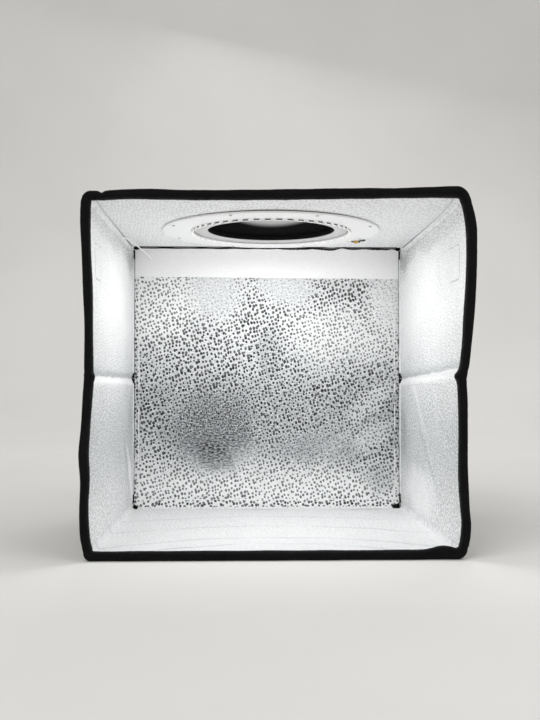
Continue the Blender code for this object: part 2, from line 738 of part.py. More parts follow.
def make_looks():
    return {
        "shell": make_material("shell fabric", (0.012, 0.012, 0.013), 0.85),
        "binding": make_material("binding fabric", (0.008, 0.008, 0.009), 0.75),
        "board": make_material("stiffening board", (0.45, 0.44, 0.42), 0.90),
        "film": make_material("embossed film", (0.78, 0.79, 0.80), 0.30, 0.35),
        "strip": make_material("backdrop strip", (0.85, 0.85, 0.84), 0.90),
        "loop": make_material("loop patch", (0.015, 0.015, 0.016), 0.95),
        "lamp": make_material("lamp board", (0.88, 0.88, 0.87), 0.40),
        "bead": make_material("lamp bead", (0.95, 0.92, 0.80), 0.30),
        "rivet": make_material("rivet", (0.75, 0.75, 0.74), 0.45),
        "contact": make_material("solder contact", (0.80, 0.62, 0.28), 0.30, 1.0),
        "lead": make_material("lead", (0.02, 0.02, 0.02), 0.50),
        "gland": make_material("gland", (0.02, 0.02, 0.02), 0.70),
        "eyelet": make_material("eyelet", (0.35, 0.35, 0.36), 0.50),
        "hook": make_material("hook patch", (0.02, 0.02, 0.02), 0.80),
    }


def main():
    clear_scene()
    looks = make_looks()
    pivots = {
        "back": make_pivot("back_axis", (0.0, BACK_FILM_Y, BACK_AXIS_Z)),
        "left_lower": make_pivot("left_lower_axis", (-INNER_X, 0.0, LOWER_AXIS_Z)),
        "left_upper": make_pivot("left_crease_axis", (-CREASE_X, 0.0, CREASE_Z)),
        "top": make_pivot("top_left_axis", (-INNER_X, 0.0, UPPER_AXIS_Z)),
        "right_upper": make_pivot("top_right_axis", (INNER_X, 0.0, UPPER_AXIS_Z)),
        "right_lower": make_pivot("right_crease_axis", (CREASE_X, 0.0, CREASE_Z)),
        "flap": make_pivot("flap_axis", (FLAP_AXIS_X, 0.0, FLAP_AXIS_Z)),
    }
    make_floor(looks)
    make_back(looks, pivots["back"])
    for word, side in (("left", -1), ("right", 1)):
        lower, upper = pivots[f"{word}_lower"], pivots[f"{word}_upper"]
        make_wall_half(f"{word}_lower", side, LOWER_AXIS_Z + GAP, CREASE_Z - GAP, looks, lower)
        make_wall_half(f"{word}_upper", side, CREASE_Z + GAP, UPPER_AXIS_Z - GAP, looks, upper)
        make_patch(f"{word}_loop_patch", side, looks, upper)
    rivet_holes = make_ceiling(looks, pivots["top"])
    make_lamp(looks, pivots["top"], rivet_holes)
    make_contacts(looks, pivots["top"])
    make_lead(looks, pivots["top"])
    make_gland(looks, pivots["top"])
    make_eyelet(looks, pivots["top"])
    make_flap(looks, pivots["top"], pivots["flap"])
    bpy.context.view_layer.update()


main()
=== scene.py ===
"""The looks of a folding light tent: film linings, fabric shell, padded bindings, lamp and studio.

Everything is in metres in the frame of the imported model: +Z is up and the open front faces -Y.
"""

import json
import math
from collections import namedtuple

import bmesh
import bpy
import numpy as np
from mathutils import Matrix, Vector


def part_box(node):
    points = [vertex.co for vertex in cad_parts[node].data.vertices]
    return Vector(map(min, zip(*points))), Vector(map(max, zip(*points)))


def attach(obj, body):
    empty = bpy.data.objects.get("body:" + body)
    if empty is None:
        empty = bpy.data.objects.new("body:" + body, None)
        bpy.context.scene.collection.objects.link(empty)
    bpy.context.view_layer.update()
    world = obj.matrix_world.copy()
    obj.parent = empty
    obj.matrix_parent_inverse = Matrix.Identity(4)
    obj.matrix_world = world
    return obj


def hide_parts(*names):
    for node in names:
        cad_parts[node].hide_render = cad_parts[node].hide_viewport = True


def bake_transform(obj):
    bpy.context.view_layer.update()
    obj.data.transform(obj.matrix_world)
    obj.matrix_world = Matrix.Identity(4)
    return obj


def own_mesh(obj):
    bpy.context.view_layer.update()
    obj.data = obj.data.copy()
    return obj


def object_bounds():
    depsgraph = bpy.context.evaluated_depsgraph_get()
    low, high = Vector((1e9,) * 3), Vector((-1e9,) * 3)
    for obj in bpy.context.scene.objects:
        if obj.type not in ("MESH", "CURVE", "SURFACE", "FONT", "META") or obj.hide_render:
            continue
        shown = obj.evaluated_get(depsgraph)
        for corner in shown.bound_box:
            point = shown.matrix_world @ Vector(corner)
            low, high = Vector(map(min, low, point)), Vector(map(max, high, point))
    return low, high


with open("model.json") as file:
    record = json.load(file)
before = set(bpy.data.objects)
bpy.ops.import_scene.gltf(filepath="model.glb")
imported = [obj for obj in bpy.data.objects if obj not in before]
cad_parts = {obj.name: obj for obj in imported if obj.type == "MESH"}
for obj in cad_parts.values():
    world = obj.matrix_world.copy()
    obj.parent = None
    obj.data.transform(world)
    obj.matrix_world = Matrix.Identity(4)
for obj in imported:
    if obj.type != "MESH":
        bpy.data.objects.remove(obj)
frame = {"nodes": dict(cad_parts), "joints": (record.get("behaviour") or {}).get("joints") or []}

CAD_LOW, CAD_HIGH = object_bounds()
FULL_TURN = 2 * math.pi
QUARTER = math.pi / 2
X_AXIS, Y_AXIS, Z_AXIS = (1, 0, 0), (0, 1, 0), (0, 0, 1)


def pivot_of(joint):
    return Vector(next(j for j in frame["joints"] if j["name"] == joint)["pos_m"])


# Places of the tent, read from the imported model
HALF, HEIGHT = CAD_HIGH.x, CAD_HIGH.z
FRONT_Y, REAR_Y = CAD_LOW.y, CAD_HIGH.y
INNER_X, _, UPPER_Z = pivot_of("top_right_edge")
CREASE_X, _, CREASE_Z = pivot_of("right_crease")
LOWER_Z = pivot_of("wall_fold").z
BACK_AXIS = pivot_of("back_fold")
FLOOR_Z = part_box("bottom_lining")[1].z
CEILING_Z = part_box("top_lining")[0].z
OUTER_X, WALL_REAR_Y, TOP_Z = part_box("top_cover")[1]
COVER_FRONT_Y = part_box("top_cover")[0].y
BINDING_REAR_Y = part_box("top_binding")[1].y
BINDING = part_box("right_lower_binding")[1].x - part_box("right_lower_binding")[0].x
BACK_LOW, BACK_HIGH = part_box("back_cover")
STRIP_LOW, STRIP_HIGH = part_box("backdrop_strip")
LAMP_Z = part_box("lamp_board")[0].z
FLAP_LOW, FLAP_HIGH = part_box("hole_flap")
SIDES = {"left": -1, "right": 1}
HALVES = {"lower": (LOWER_Z, CREASE_Z), "upper": (CREASE_Z, UPPER_Z)}
SIDE_RISE = {"bottom": LOWER_Z - FLOOR_Z, "top": CEILING_Z - UPPER_Z}

# Sizes of the soft pieces
GAP = 0.0003
HAIR = 0.0001
THICK = FLOOR_Z
FILM = 0.00035
TURN_RADIUS = 0.0025
OUTER_RADIUS = 0.0032
CREASE_MARGIN = 0.0042
GROOVE_DEPTH, GROOVE_REACH = 0.0011, 0.0030
TRIM = 0.0036
TUCK = 0.0012
SLAB_ROUND = 0.0011
SLAB_PUFF, PUFF_REACH = 0.0005, 0.03
CALM_REACH = 0.02
SEAM_INSET, SEAM_DEPTH, SEAM_REACH = 0.0034, 0.0003, 0.0006
STRIP_WIDTH = 0.0106
HOLE_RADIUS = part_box("hole_eyelet")[1].x - 0.0024
HOLE_STEPS = 128
FLAP_CORNER = 0.006
PATCH_ROUND = 0.0007
PIPING_RADIUS = {"left": 0.0008, "right": 0.0011}
# What is left of a hem, a piping or a tack in the folded tent
CRUMPLED = 0.05
STITCH_LENGTH, STITCH_PITCH, STITCH_RADIUS = 0.0024, 0.0034, 0.00022
STITCH_SIDES = 6
# Sections of a stitch: the share of its length, its girth and how far it is lifted, both in radii
STITCH_SECTIONS = ((0.0, 0.35, -0.6), (0.2, 1.0, 0.5), (0.8, 1.0, 0.5), (1.0, 0.35, -0.6))
BINDING_STEPS = 28
BINDING_POWER = 2 / 2.7
SLEEVE_REACH, SLEEVE_BEND, SLEEVE_STEP = 0.0046, 0.0026, 0.0005
# Where the inner line of each side's binding stands in at the crease: place, width and share
CREASE_STEPS = {"left": (CREASE_Z - 0.0010, 0.0022, -0.14), "right": (CREASE_Z - 0.0008, 0.0034, -0.30)}
BEAD_COUNT, BEAD_CIRCLE = 48, 0.0588
BEAD_LENGTH, BEAD_WIDTH, BEAD_DEPTH, BEAD_TAPER = 0.0043, 0.0016, 0.0010, 0.94
WINDOW_SHARE, WINDOW_DEPTH = 0.80, 0.00012
THREAD_RADIUS = 0.00045
THREAD_ROUTE = (
    (-0.1143, 0.0240, 0.2232), (-0.1106, 0.0440, 0.2234), (-0.1050, 0.0690, 0.2205), (-0.0985, 0.0940, 0.2160),
)
CAMERA_SPOT, CAMERA_TURN, CAMERA_LENS = (-0.0202, -0.6961, 0.1095), (91.48, 0.0, -1.60), 46.60
# The studio's lights: name, place, size and power
STUDIO_LIGHTS = (
    ("key", (-1.1, -1.6, 1.9), 1.6, 26.0),
    ("fill", (1.5, -1.2, 1.1), 1.6, 12.0),
    ("rim", (0.3, 1.4, 1.6), 1.2, 10.0),
)
# Distances between the points of the boards' fabric, of the upright and level films, and of the strips
SHELL_STEP, FILM_STEP, LEVEL_STEP, STRIP_STEP = 0.0035, 0.0022, 0.0024, 0.004

# The black tacks in the rear corners: their places across and up, and their half widths
TACK_Y = 0.1118
TACKS = (
    (-0.1138, 0.0042, 0.0024), (0.1120, 0.0036, 0.0036), (-0.1132, 0.2232, 0.0026), (0.1140, 0.2228, 0.0026),
)
# How far the front edge of each side stands out from its straight line, at heights above the floor
LEFT_BOW = (
    (0.000, -0.0010), (0.007, 0.0000), (0.012, 0.0013), (0.022, 0.0023), (0.031, 0.0026), (0.050, 0.0020),
    (0.066, 0.0029), (0.081, 0.0018), (0.100, 0.0005), (0.1145, -0.0004), (0.121, -0.0003), (0.150, 0.0000),
    (0.175, 0.0009), (0.194, 0.0019), (0.212, 0.0025), (0.222, 0.0022), (0.229, 0.0012),
)
RIGHT_BOW = (
    (0.000, -0.0012), (0.006, -0.0001), (0.009, 0.0008), (0.022, 0.0024), (0.031, 0.0016), (0.050, 0.0005),
    (0.081, 0.0006), (0.100, 0.0004), (0.110, 0.0000), (0.1145, 0.0001), (0.1185, 0.0012), (0.131, 0.0031),
    (0.150, 0.0049), (0.175, 0.0068), (0.194, 0.0073), (0.206, 0.0069), (0.2156, 0.0050), (0.222, 0.0029),
    (0.229, 0.0000),
)
# How far the ceiling's front edge is lifted, from left to right
TOP_LIFT = (
    (-0.120, 0.0014), (-0.108, 0.0017), (-0.096, 0.0027), (-0.050, 0.0025), (0.0, 0.0032), (0.040, 0.0042),
    (0.080, 0.0050), (0.100, 0.0057), (0.112, 0.0059), (0.120, 0.0057),
)
BOW_POWER = 1.6
LIFT_POWER = 10
# The rear edges: where they start to leave the level, how far, and the kink of the ceiling's rear edge
REAR_BEND_Y, REAR_LIFT, REAR_DIP = 0.080, 0.0043, 0.0006
KINK_HEIGHT = 0.0009
KINKS = ((0.066, 0.004, 1.0), (0.056, 0.006, -0.9))


def follow(knots, at):
    """A smooth curve through (place, value) knots, read at some places."""
    place, value = np.array(knots).T
    slope = np.gradient(value, place)
    at = np.clip(at, place[0], place[-1])
    k = np.clip(np.searchsorted(place, at, side="right") - 1, 0, len(place) - 2)
    span = place[k + 1] - place[k]
    t = (at - place[k]) / span
    start = value[k] * (2 * t**3 - 3 * t**2 + 1) + slope[k] * span * (t**3 - 2 * t**2 + t)
    end = value[k + 1] * (3 * t**2 - 2 * t**3) + slope[k + 1] * span * (t**3 - t**2)
    return start + end


def ease(value):
    """0 below 0, 1 above 1, and smooth between them."""
    t = np.clip(value, 0, 1)
    return t * t * (3 - 2 * t)


def bell(value, middle, width):
    """1 at the middle, falling away to 0 on both sides."""
    return np.exp(-(((value - middle) / width) ** 2))


def inside(value, low, high):
    """How far a value lies inside its range."""
    return np.minimum(value - low, high - value)


def quarter_round(depth, reach):
    """From 0 at an edge to 1 a reach inside it, along a quarter circle."""
    return np.sqrt(np.clip(1 - (1 - np.clip(depth / reach, 0, 1)) ** 2, 0, 1))


def swell(a, b, seed, size, waves=9):
    """A smooth random undulation between about -1 and 1, whose waves are about this long."""
    rng = np.random.default_rng(seed)
    total = np.zeros(np.broadcast(a, b).shape)
    for _ in range(waves):
        turn, phase, stretch = rng.uniform(0, FULL_TURN), rng.uniform(0, FULL_TURN), rng.uniform(0.7, 1.6)
        total += np.sin((a * math.cos(turn) + b * math.sin(turn)) * FULL_TURN / (size * stretch) + phase)
    return total / math.sqrt(2 * waves)


def points_at(x, y, z):
    return np.stack(np.broadcast_arrays(x, y, z), axis=-1)


def round_angles(steps):
    return np.arange(steps) * FULL_TURN / steps


def unit(vectors):
    return vectors / np.linalg.norm(vectors, axis=-1, keepdims=True)


def run_between(start, end, count):
    start, end = np.array(start), np.array(end)
    return [tuple(start + (end - start) * k / count) for k in range(count + 1)]


def straight(start, end, step=0.0012):
    return run_between(start, end, max(2, round(math.dist(start, end) / step)))


def arc(middle, radius, start, end, steps=10):
    turns = np.linspace(start, end, steps + 1)
    return [(middle[0] + radius * math.cos(t), middle[1] + radius * math.sin(t)) for t in turns]


def run_along(path):
    """The distance of each point of a path from its start, along the path."""
    return np.concatenate([[0], np.cumsum(np.linalg.norm(np.diff(path, axis=0), axis=1))])


EDGE_SHARES = np.array((0, 0.02, 0.08, 0.18, 0.33, 0.6, 0.8, 0.9, 1.0, 1.1, 1.2, 1.45))


def spread(low, high, step, near=0.0):
    """Places from low to high about a step apart, with closer ones near both ends if near is given."""
    if near == 0:
        return np.linspace(low, high, max(2, round((high - low) / step)) + 1)
    edge = near * EDGE_SHARES
    start, end = low + edge[-1], high - edge[-1]
    middle = np.linspace(start, end, max(2, round((end - start) / step)))
    return np.concatenate([low + edge[:-1], middle, (high - edge[:-1])[::-1]])


def warp(points):
    """The pull of the sewing and the boards, which draws the open front out of square."""
    points = np.array(points, float)
    x, y, z = points[..., 0], points[..., 1], points[..., 2]
    front = np.clip((REAR_Y - y) / (REAR_Y - FRONT_Y), 0, 1)
    bow = np.where(x < 0, -follow(LEFT_BOW, z), follow(RIGHT_BOW, z))
    lift = follow(TOP_LIFT, x) * np.clip(z / HEIGHT, 0, 1) ** 3
    points[..., 0] += bow * front**BOW_POWER * np.clip(np.abs(x) / HALF, 0, 1) ** 3
    points[..., 2] += lift * front**LIFT_POWER
    rear = ease((y - REAR_BEND_Y) / (BACK_AXIS.y - REAR_BEND_Y))
    low = np.clip(z / FLOOR_Z, 0, 1) * ease((0.020 - z) / 0.014)
    kink = sum(share * bell(x, middle, width) for middle, width, share in KINKS)
    points[..., 2] += rear * (ease((z - 0.198) / 0.020) * (REAR_LIFT + KINK_HEIGHT * kink) - REAR_DIP * low)
    return points


def grid_faces(rows, columns, start=0, wrap=False):
    """Quads over points stored row by row; with wrap each row closes on itself."""
    faces = []
    for r in range(rows - 1):
        for c in range(columns if wrap else columns - 1):
            here = start + r * columns + c
            after = start + r * columns + (c + 1) % columns
            faces.append((here, after, after + columns, here + columns))
    return faces


def add_object(name, data, spot=(0.0, 0.0, 0.0)):
    item = bpy.data.objects.new(name, data)
    item.location = spot
    bpy.context.scene.collection.objects.link(item)
    return item


def make_piece(name, points, faces, material, smooth=50):
    """A mesh object with its faces turned outwards and its edges smooth up to an angle in degrees."""
    mesh = bpy.data.meshes.new(name)
    mesh.from_pydata([tuple(p) for p in np.asarray(points).reshape(-1, 3)], [], faces)
    form = bmesh.new()
    form.from_mesh(mesh)
    bmesh.ops.remove_doubles(form, verts=form.verts, dist=1e-7)
    bmesh.ops.recalc_face_normals(form, faces=form.faces)
    form.to_mesh(mesh)
    form.free()
    mesh.shade_smooth()
    mesh.set_sharp_from_angle(angle=math.radians(smooth))
    mesh.materials.append(material)
    return add_object(name, mesh)


def make_shell(name, face, rear, look):
    """A closed thin piece between two grids of points that lie over each other."""
    rows, columns = face.shape[:2]
    count = rows * columns
    points = np.concatenate([face.reshape(-1, 3), rear.reshape(-1, 3)])
    faces = grid_faces(rows, columns) + grid_faces(rows, columns, count)
    border = list(range(columns))
    border += [r * columns + columns - 1 for r in range(1, rows)]
    border += [(rows - 1) * columns + c for c in range(columns - 2, -1, -1)]
    border += [r * columns for r in range(rows - 2, 0, -1)]
    for here, after in zip(border, border[1:] + border[:1]):
        faces.append((here, after, after + count, here + count))
    return make_piece(name, points, faces, looks[look])


def make_sheet(name, face, rear, look):
    """A thin closed piece, made by make_shell."""
    item = make_shell(name, face, rear, look)
    return item


def make_tube(name, rings, look):
    """A closed tube through rings of points, with its two ends capped."""
    rings = np.asarray(rings)
    rows, columns = rings.shape[:2]
    faces = grid_faces(rows, columns, wrap=True)
    faces += [tuple(range(columns)), tuple(range((rows - 1) * columns, rows * columns))]
    return make_piece(name, rings, faces, looks[look])


def make_turned(name, profile, look, steps=96):
    """A closed ring turned about the vertical axis from a closed outline of (radius, z) points."""
    angles = round_angles(steps)[:, None]
    radius, z = np.array(profile, float).T
    count = len(profile)
    faces = grid_faces(steps, count, wrap=True)
    last = (steps - 1) * count
    faces += [(last + c, last + (c + 1) % count, (c + 1) % count, c) for c in range(count)]
    return make_piece(name, points_at(radius * np.cos(angles), radius * np.sin(angles), z), faces, looks[look])


def rings_round(ahead, outward, steps=6):
    """Unit rings across some directions, and the direction to each ring's outward side."""
    ahead = unit(ahead)
    beside = unit(np.cross(ahead, outward))
    upward = np.cross(beside, ahead)
    angles = round_angles(steps)[:, None]
    return beside[:, None] * np.cos(angles) + upward[:, None] * np.sin(angles), upward


def ball(steps, edge, rows=9):
    """Rings of points on a unit ball, from just beside one pole to just beside the other."""
    angles, tilt = round_angles(steps), np.linspace(edge, math.pi - edge, rows)[:, None]
    return points_at(np.sin(tilt) * np.cos(angles), np.sin(tilt) * np.sin(angles), np.cos(tilt))


def dress(item, body=None, nodes=(), bend=None, squeeze=None):
    """Hide the nodes that a piece replaces and carry it on its body's empty; with a bend its place is only
    baked into its mesh, and with a squeeze it only gets its own mesh.
    """
    if nodes:
        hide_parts(*nodes)
    if bend:
        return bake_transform(item)
    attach(item, body)
    if squeeze:
        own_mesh(item)
    return item


class Value:
    """An output of a node, which can be added, multiplied and so on."""

    def __init__(self, nodes, socket):
        self.nodes, self.socket = nodes, socket

    def __add__(self, other):
        return self.nodes.math("ADD", self, other)

    def __sub__(self, other):
        return self.nodes.math("SUBTRACT", self, other)

    def __rsub__(self, other):
        return self.nodes.math("SUBTRACT", other, self)

    def __mul__(self, other):
        return self.nodes.math("MULTIPLY", self, other)

    def __abs__(self):
        return self.nodes.math("ABSOLUTE", self)

    __radd__ = __add__
    __rmul__ = __mul__


class Nodes:
    """The node tree of one material, with short calls for the nodes that it is made of."""

    def __init__(self, name):
        self.material = bpy.data.materials.new(name)
        self.material.use_nodes = True
        self.tree = self.material.node_tree
        self.shader = self.tree.nodes["Principled BSDF"]
        self.where = self.make("TexCoord", {})["Object"]

    def put(self, socket, value):
        if isinstance(value, Value):
            self.tree.links.new(value.socket, socket)
        else:
            socket.default_value = value

    def make(self, kind, inputs, **settings):
        """A new node with its settings and inputs; its outputs are found by name."""
        node = self.tree.nodes.new("ShaderNode" + kind)
        for name, setting in settings.items():
            setattr(node, name, setting)
        if not isinstance(inputs, dict):
            inputs = dict(enumerate(inputs))
        for key, value in inputs.items():
            self.put(node.inputs[key], value)
        return {socket.name: Value(self, socket) for socket in node.outputs if socket.enabled}

    def math(self, operation, *values, clamp=False):
        return self.make("Math", values, operation=operation, use_clamp=clamp)["Value"]

    def vector(self, operation, *values):
        return self.make("VectorMath", values, operation=operation)["Vector"]

    def dot(self, first, second):
        return self.make("VectorMath", (first, second), operation="DOT_PRODUCT")["Value"]

    def length(self, vector):
        return self.make("VectorMath", (vector,), operation="LENGTH")["Value"]

    def axes(self, vector=None):
        return list(self.make("SeparateXYZ", (vector or self.where,)).values())

    def join(self, x, y, z=0.0):
        return self.make("CombineXYZ", (x, y, z))["Vector"]

    def remap(self, value, low, high, to_low=0.0, to_high=1.0, linear=False):
        curve = "LINEAR" if linear else "SMOOTHSTEP"
        return self.make("MapRange", (value, low, high, to_low, to_high), interpolation_type=curve)["Result"]

    def noise(self, scale, detail=2.0, vector=None, output="Fac"):
        return self.make("TexNoise", {"Vector": vector or self.where, "Scale": scale, "Detail": detail})[output]

    def voronoi(self, scale, vector=None, flat=False, spread=1.0):
        inputs = {"Vector": vector or self.where, "Scale": scale, "Randomness": spread}
        return self.make("TexVoronoi", inputs, voronoi_dimensions="2D" if flat else "3D")

    def stir(self, vector, flat, scale, detail, reach):
        """Places moved about by a coloured noise that is read on the flat ones."""
        away = self.vector("SUBTRACT", self.noise(scale, detail, flat, "Color"), (0.5, 0.5, 0.5))
        return self.vector("ADD", vector, self.vector("MULTIPLY", away, (reach[0], reach[1], 0.0)))

    def mix(self, share, first, second):
        inputs = {0: share}
        for place, value in ((6, first), (7, second)):
            inputs[place] = (*value, 1.0) if isinstance(value, tuple) else value
        return self.make("Mix", inputs, data_type="RGBA")["Result"]

    def ramp(self, value, levels):
        """A grey level read along (place, level) pairs."""
        low, high = levels[0][0], levels[-1][0]
        colour = self.make("ValToRGB", (self.remap(value, low, high, linear=True),))["Color"]
        elements = colour.socket.node.color_ramp.elements
        while len(elements) < len(levels):
            elements.new(0.5)
        for element, (where, level) in zip(elements, levels):
            element.position = (where - low) / (high - low)
            element.color = (level, level, level, 1.0)
        return colour

    def bump(self, height, depth, normal=None):
        inputs = {"Distance": depth, "Height": height}
        if normal is not None:
            inputs["Normal"] = normal
        return self.make("Bump", inputs)["Normal"]

    def finish(self, colour, roughness, normal=None, **inputs):
        inputs["Base Color"] = (*colour, 1.0) if isinstance(colour, tuple) else colour
        inputs["Roughness"] = roughness
        if normal is not None:
            inputs["Normal"] = normal
        for name, value in inputs.items():
            self.put(self.shader.inputs[name.replace("_", " ")], value)
        return self.material


# Pebbles of the film to a metre
FILM_CELLS = 324.0
FILM_SHADOW = (0.012, 0.014, 0.015)
# A painted tone of a film, a patch of painted light or shade: its middle and reach in the panel's plane,
# its share of the grey level and of the dots, and how far it is turned, in degrees
PaintedTone = namedtuple("PaintedTone", "a b reach_a reach_b level dots turn", defaults=(0.0,))

BACK_PAINTED_TONES = (
    PaintedTone(-0.048, 0.070, 0.048, 0.044, 0.47, 0.85),
    PaintedTone(-0.040, 0.051, 0.046, 0.024, 0.94, 0.20),
    PaintedTone(-0.045, 0.043, 0.030, 0.012, 0.64, 0.50, -30.0),
    PaintedTone(-0.030, 0.104, 0.044, 0.026, 0.88, 1.00),
    PaintedTone(0.002, 0.137, 0.014, 0.028, 0.76, 1.00),
    PaintedTone(-0.098, 0.103, 0.020, 0.013, 0.80, 1.00),
    PaintedTone(-0.110, 0.075, 0.026, 0.060, 1.22, 1.00),
    PaintedTone(0.044, 0.053, 0.056, 0.022, 0.82, 0.55),
    PaintedTone(0.090, 0.094, 0.034, 0.014, 1.45, 0.75, 30.0),
    PaintedTone(0.066, 0.064, 0.032, 0.009, 1.18, 0.80, 40.0),
    PaintedTone(0.092, 0.064, 0.026, 0.015, 1.35, 0.55, 40.0),
    PaintedTone(0.096, 0.028, 0.022, 0.018, 0.74, 1.00),
    PaintedTone(-0.048, 0.190, 0.036, 0.034, 1.00, 0.14),
    PaintedTone(0.016, 0.197, 0.036, 0.024, 0.98, 0.12),
    PaintedTone(0.108, 0.188, 0.026, 0.044, 1.10, 0.20),
    PaintedTone(0.060, 0.150, 0.060, 0.040, 1.12, 0.60),
    PaintedTone(-0.096, 0.180, 0.044, 0.050, 1.26, 0.72),
    PaintedTone(0.0, 0.215, 0.200, 0.030, 1.00, 0.75),
    PaintedTone(0.0, 0.024, 0.300, 0.020, 1.05, 0.68),
)
# The grey level of each film along one direction, in metres: painted light and shade, lighter where more light
# falls
BACK_PAINTED_LEVELS = (
    (0.004, 0.97), (0.0096, 0.97), (0.0216, 0.92), (0.0345, 0.76), (0.0465, 0.60), (0.0594, 0.51),
    (0.0834, 0.46), (0.0954, 0.46), (0.108, 0.51), (0.120, 0.59), (0.133, 0.66), (0.145, 0.71),
    (0.157, 0.73), (0.190, 0.71), (0.224, 0.78),
)
WALL_PAINTED_LEVELS = (
    (0.008, 0.80), (0.020, 0.80), (0.034, 0.76), (0.050, 0.66), (0.066, 0.62), (0.083, 0.66), (0.100, 0.74),
    (0.112, 0.78), (0.119, 0.72), (0.132, 0.76), (0.149, 0.83), (0.165, 0.89), (0.220, 0.91),
)
FLOOR_PAINTED_LEVELS = ((-0.116, 0.79), (0.0, 0.84), (0.080, 0.89), (0.112, 0.89))
CEILING_PAINTED_LEVELS = ((-0.116, 0.91), (0.0, 0.91), (0.112, 0.93))
WALL_PAINTED_TONES = (
    PaintedTone(0.112, 0.212, 0.060, 0.020, 0.90, 3.0),
    PaintedTone(0.060, 0.216, 0.200, 0.010, 0.88, 2.0),
    PaintedTone(0.0, 0.172, 0.300, 0.070, 1.00, 0.20),
    PaintedTone(0.0, 0.062, 0.300, 0.060, 1.00, 1.50),
)
LEFT_PAINTED_TONES = WALL_PAINTED_TONES + (
    PaintedTone(0.090, 0.038, 0.050, 0.010, 1.30, 0.30, -50.0),
    PaintedTone(0.068, 0.046, 0.042, 0.009, 0.80, 0.50, -50.0),
    PaintedTone(0.100, 0.086, 0.030, 0.026, 0.86, 0.50),
)
RIGHT_PAINTED_TONES = WALL_PAINTED_TONES + (
    PaintedTone(0.112, 0.066, 0.044, 0.036, 0.72, 0.20),
    PaintedTone(0.032, 0.026, 0.080, 0.024, 1.14, 0.15),
    PaintedTone(0.020, 0.086, 0.070, 0.008, 1.12, 0.60, 40.0),
    PaintedTone(0.000, 0.062, 0.070, 0.008, 0.90, 1.20, 40.0),
)
FLOOR_PAINTED_TONES = (PaintedTone(0.0, -0.110, 0.300, 0.120, 1.0, 0.25),)
# The wrinkles of the floor: the place and the curve of each, its width and its depth
FLOOR_WRINKLES = (
    (-0.070, 4.2, 0.0020, 1.2),
    (-0.044, 3.4, 0.0018, 1.0),
    (0.006, 2.6, 0.0024, 0.8),
    (0.056, 2.0, 0.0026, 0.7),
)
# The patch of the outside shows through the wall films: its middle, half sizes and corner
PATCH_LINE = (-0.0700, 0.1900, 0.0200, 0.0116, 0.0025)


def crease_band(n, a, b, flat, level, cover, rise):
    """The lit fold of a wall's crease, which rises towards the front, and the shade over it."""
    run = b - n.remap(a, -0.110, 0.110, rise, 0.0, linear=True) + (n.noise(60.0, 1.0, flat) * 0.003 - 0.0015)
    ragged = run + (n.noise(150.0, 2.0, n.join(a, 0.0)) * 0.006 - 0.003)
    lit = n.remap(ragged, 0.1065, 0.1105) * n.remap(run, 0.1134, 0.1140, 1.0, 0.0)
    shade = n.remap(run, 0.1138, 0.1146) * n.remap(ragged, 0.1146, 0.1215, 1.0, 0.0)
    level = level + lit * (0.90 - level)
    return level * (shade * -0.22 + 1.0), cover * (1.0 - lit)


def edge_line(n, a, b, flat, level, cover, side, foot):
    """A broken light line along the sides and the foot of the back."""
    inset = n.math("MINIMUM", abs(abs(a) - side), abs(b - foot))
    broken = n.remap(n.noise(60.0, 1.0, flat), 0.40, 0.55, 0.35, 1.0)
    line = n.remap(inset, 0.00035, 0.0008, 1.0, 0.0) * broken
    return n.math("MAXIMUM", level, line * 0.88), cover * (1.0 - line)


def seam_line(n, a, b, flat, level, cover, edge, rear, depth):
    """The dark seams along the ceiling's sides, and painted shade in its rear corners."""
    side = abs(a)
    line = n.remap(abs(side - edge), 0.0003, 0.0008, depth, 0.0) * n.remap(b, -0.10, rear, 0.35, 1.0)
    away = n.length(n.vector("SUBTRACT", n.join(side, b), (INNER_X, rear, 0.0)))
    # Painted shade in the rear corners
    corner_shade = n.remap(n.noise(500.0, 2.0, flat) * -0.004 + away, -0.001, 0.0045, 0.9, 0.0)
    return level, n.math("MAXIMUM", cover, n.math("MAXIMUM", line, corner_shade))


def patch_outline(n, a, b, flat, level, cover, mid_a, mid_b, half_a, half_b, corner):
    """The stitched outline of a patch, a rounded rectangle that is fainter towards the rear."""
    far_a, far_b = (abs(p - m) - h + corner for p, m, h in ((a, mid_a, half_a), (b, mid_b, half_b)))
    outside = n.length(n.join(n.math("MAXIMUM", far_a, 0.0), n.math("MAXIMUM", far_b, 0.0)))
    within = n.math("MINIMUM", n.math("MAXIMUM", far_a, far_b), 0.0)
    line = n.remap(abs(outside + within - corner), 0.0003, 0.0009, 1.0, 0.0)
    broken = n.remap(n.noise(45.0, 1.0, flat), 0.35, 0.6, 0.4, 1.0) * n.remap(a, -0.082, -0.056, 1.0, 0.10)
    return level * (line * broken * -0.38 + 1.0), cover


def wrinkle(n, a, b, flat, place, curve, width, depth):
    """A shallow curved wrinkle, steep on one side and fading on the other."""
    run = b - (a * a * -curve + place) + (n.noise(14.0, 1.0, flat) * 0.016 - 0.008)
    fold = n.remap(run, 0.0, width * 0.3) * n.remap(run, width * 0.3, width * 3, 1.0, 0.0)
    return fold * n.remap(n.noise(20.0, 1.0, flat), 0.35, 0.55, 0.2, 1.0) * depth


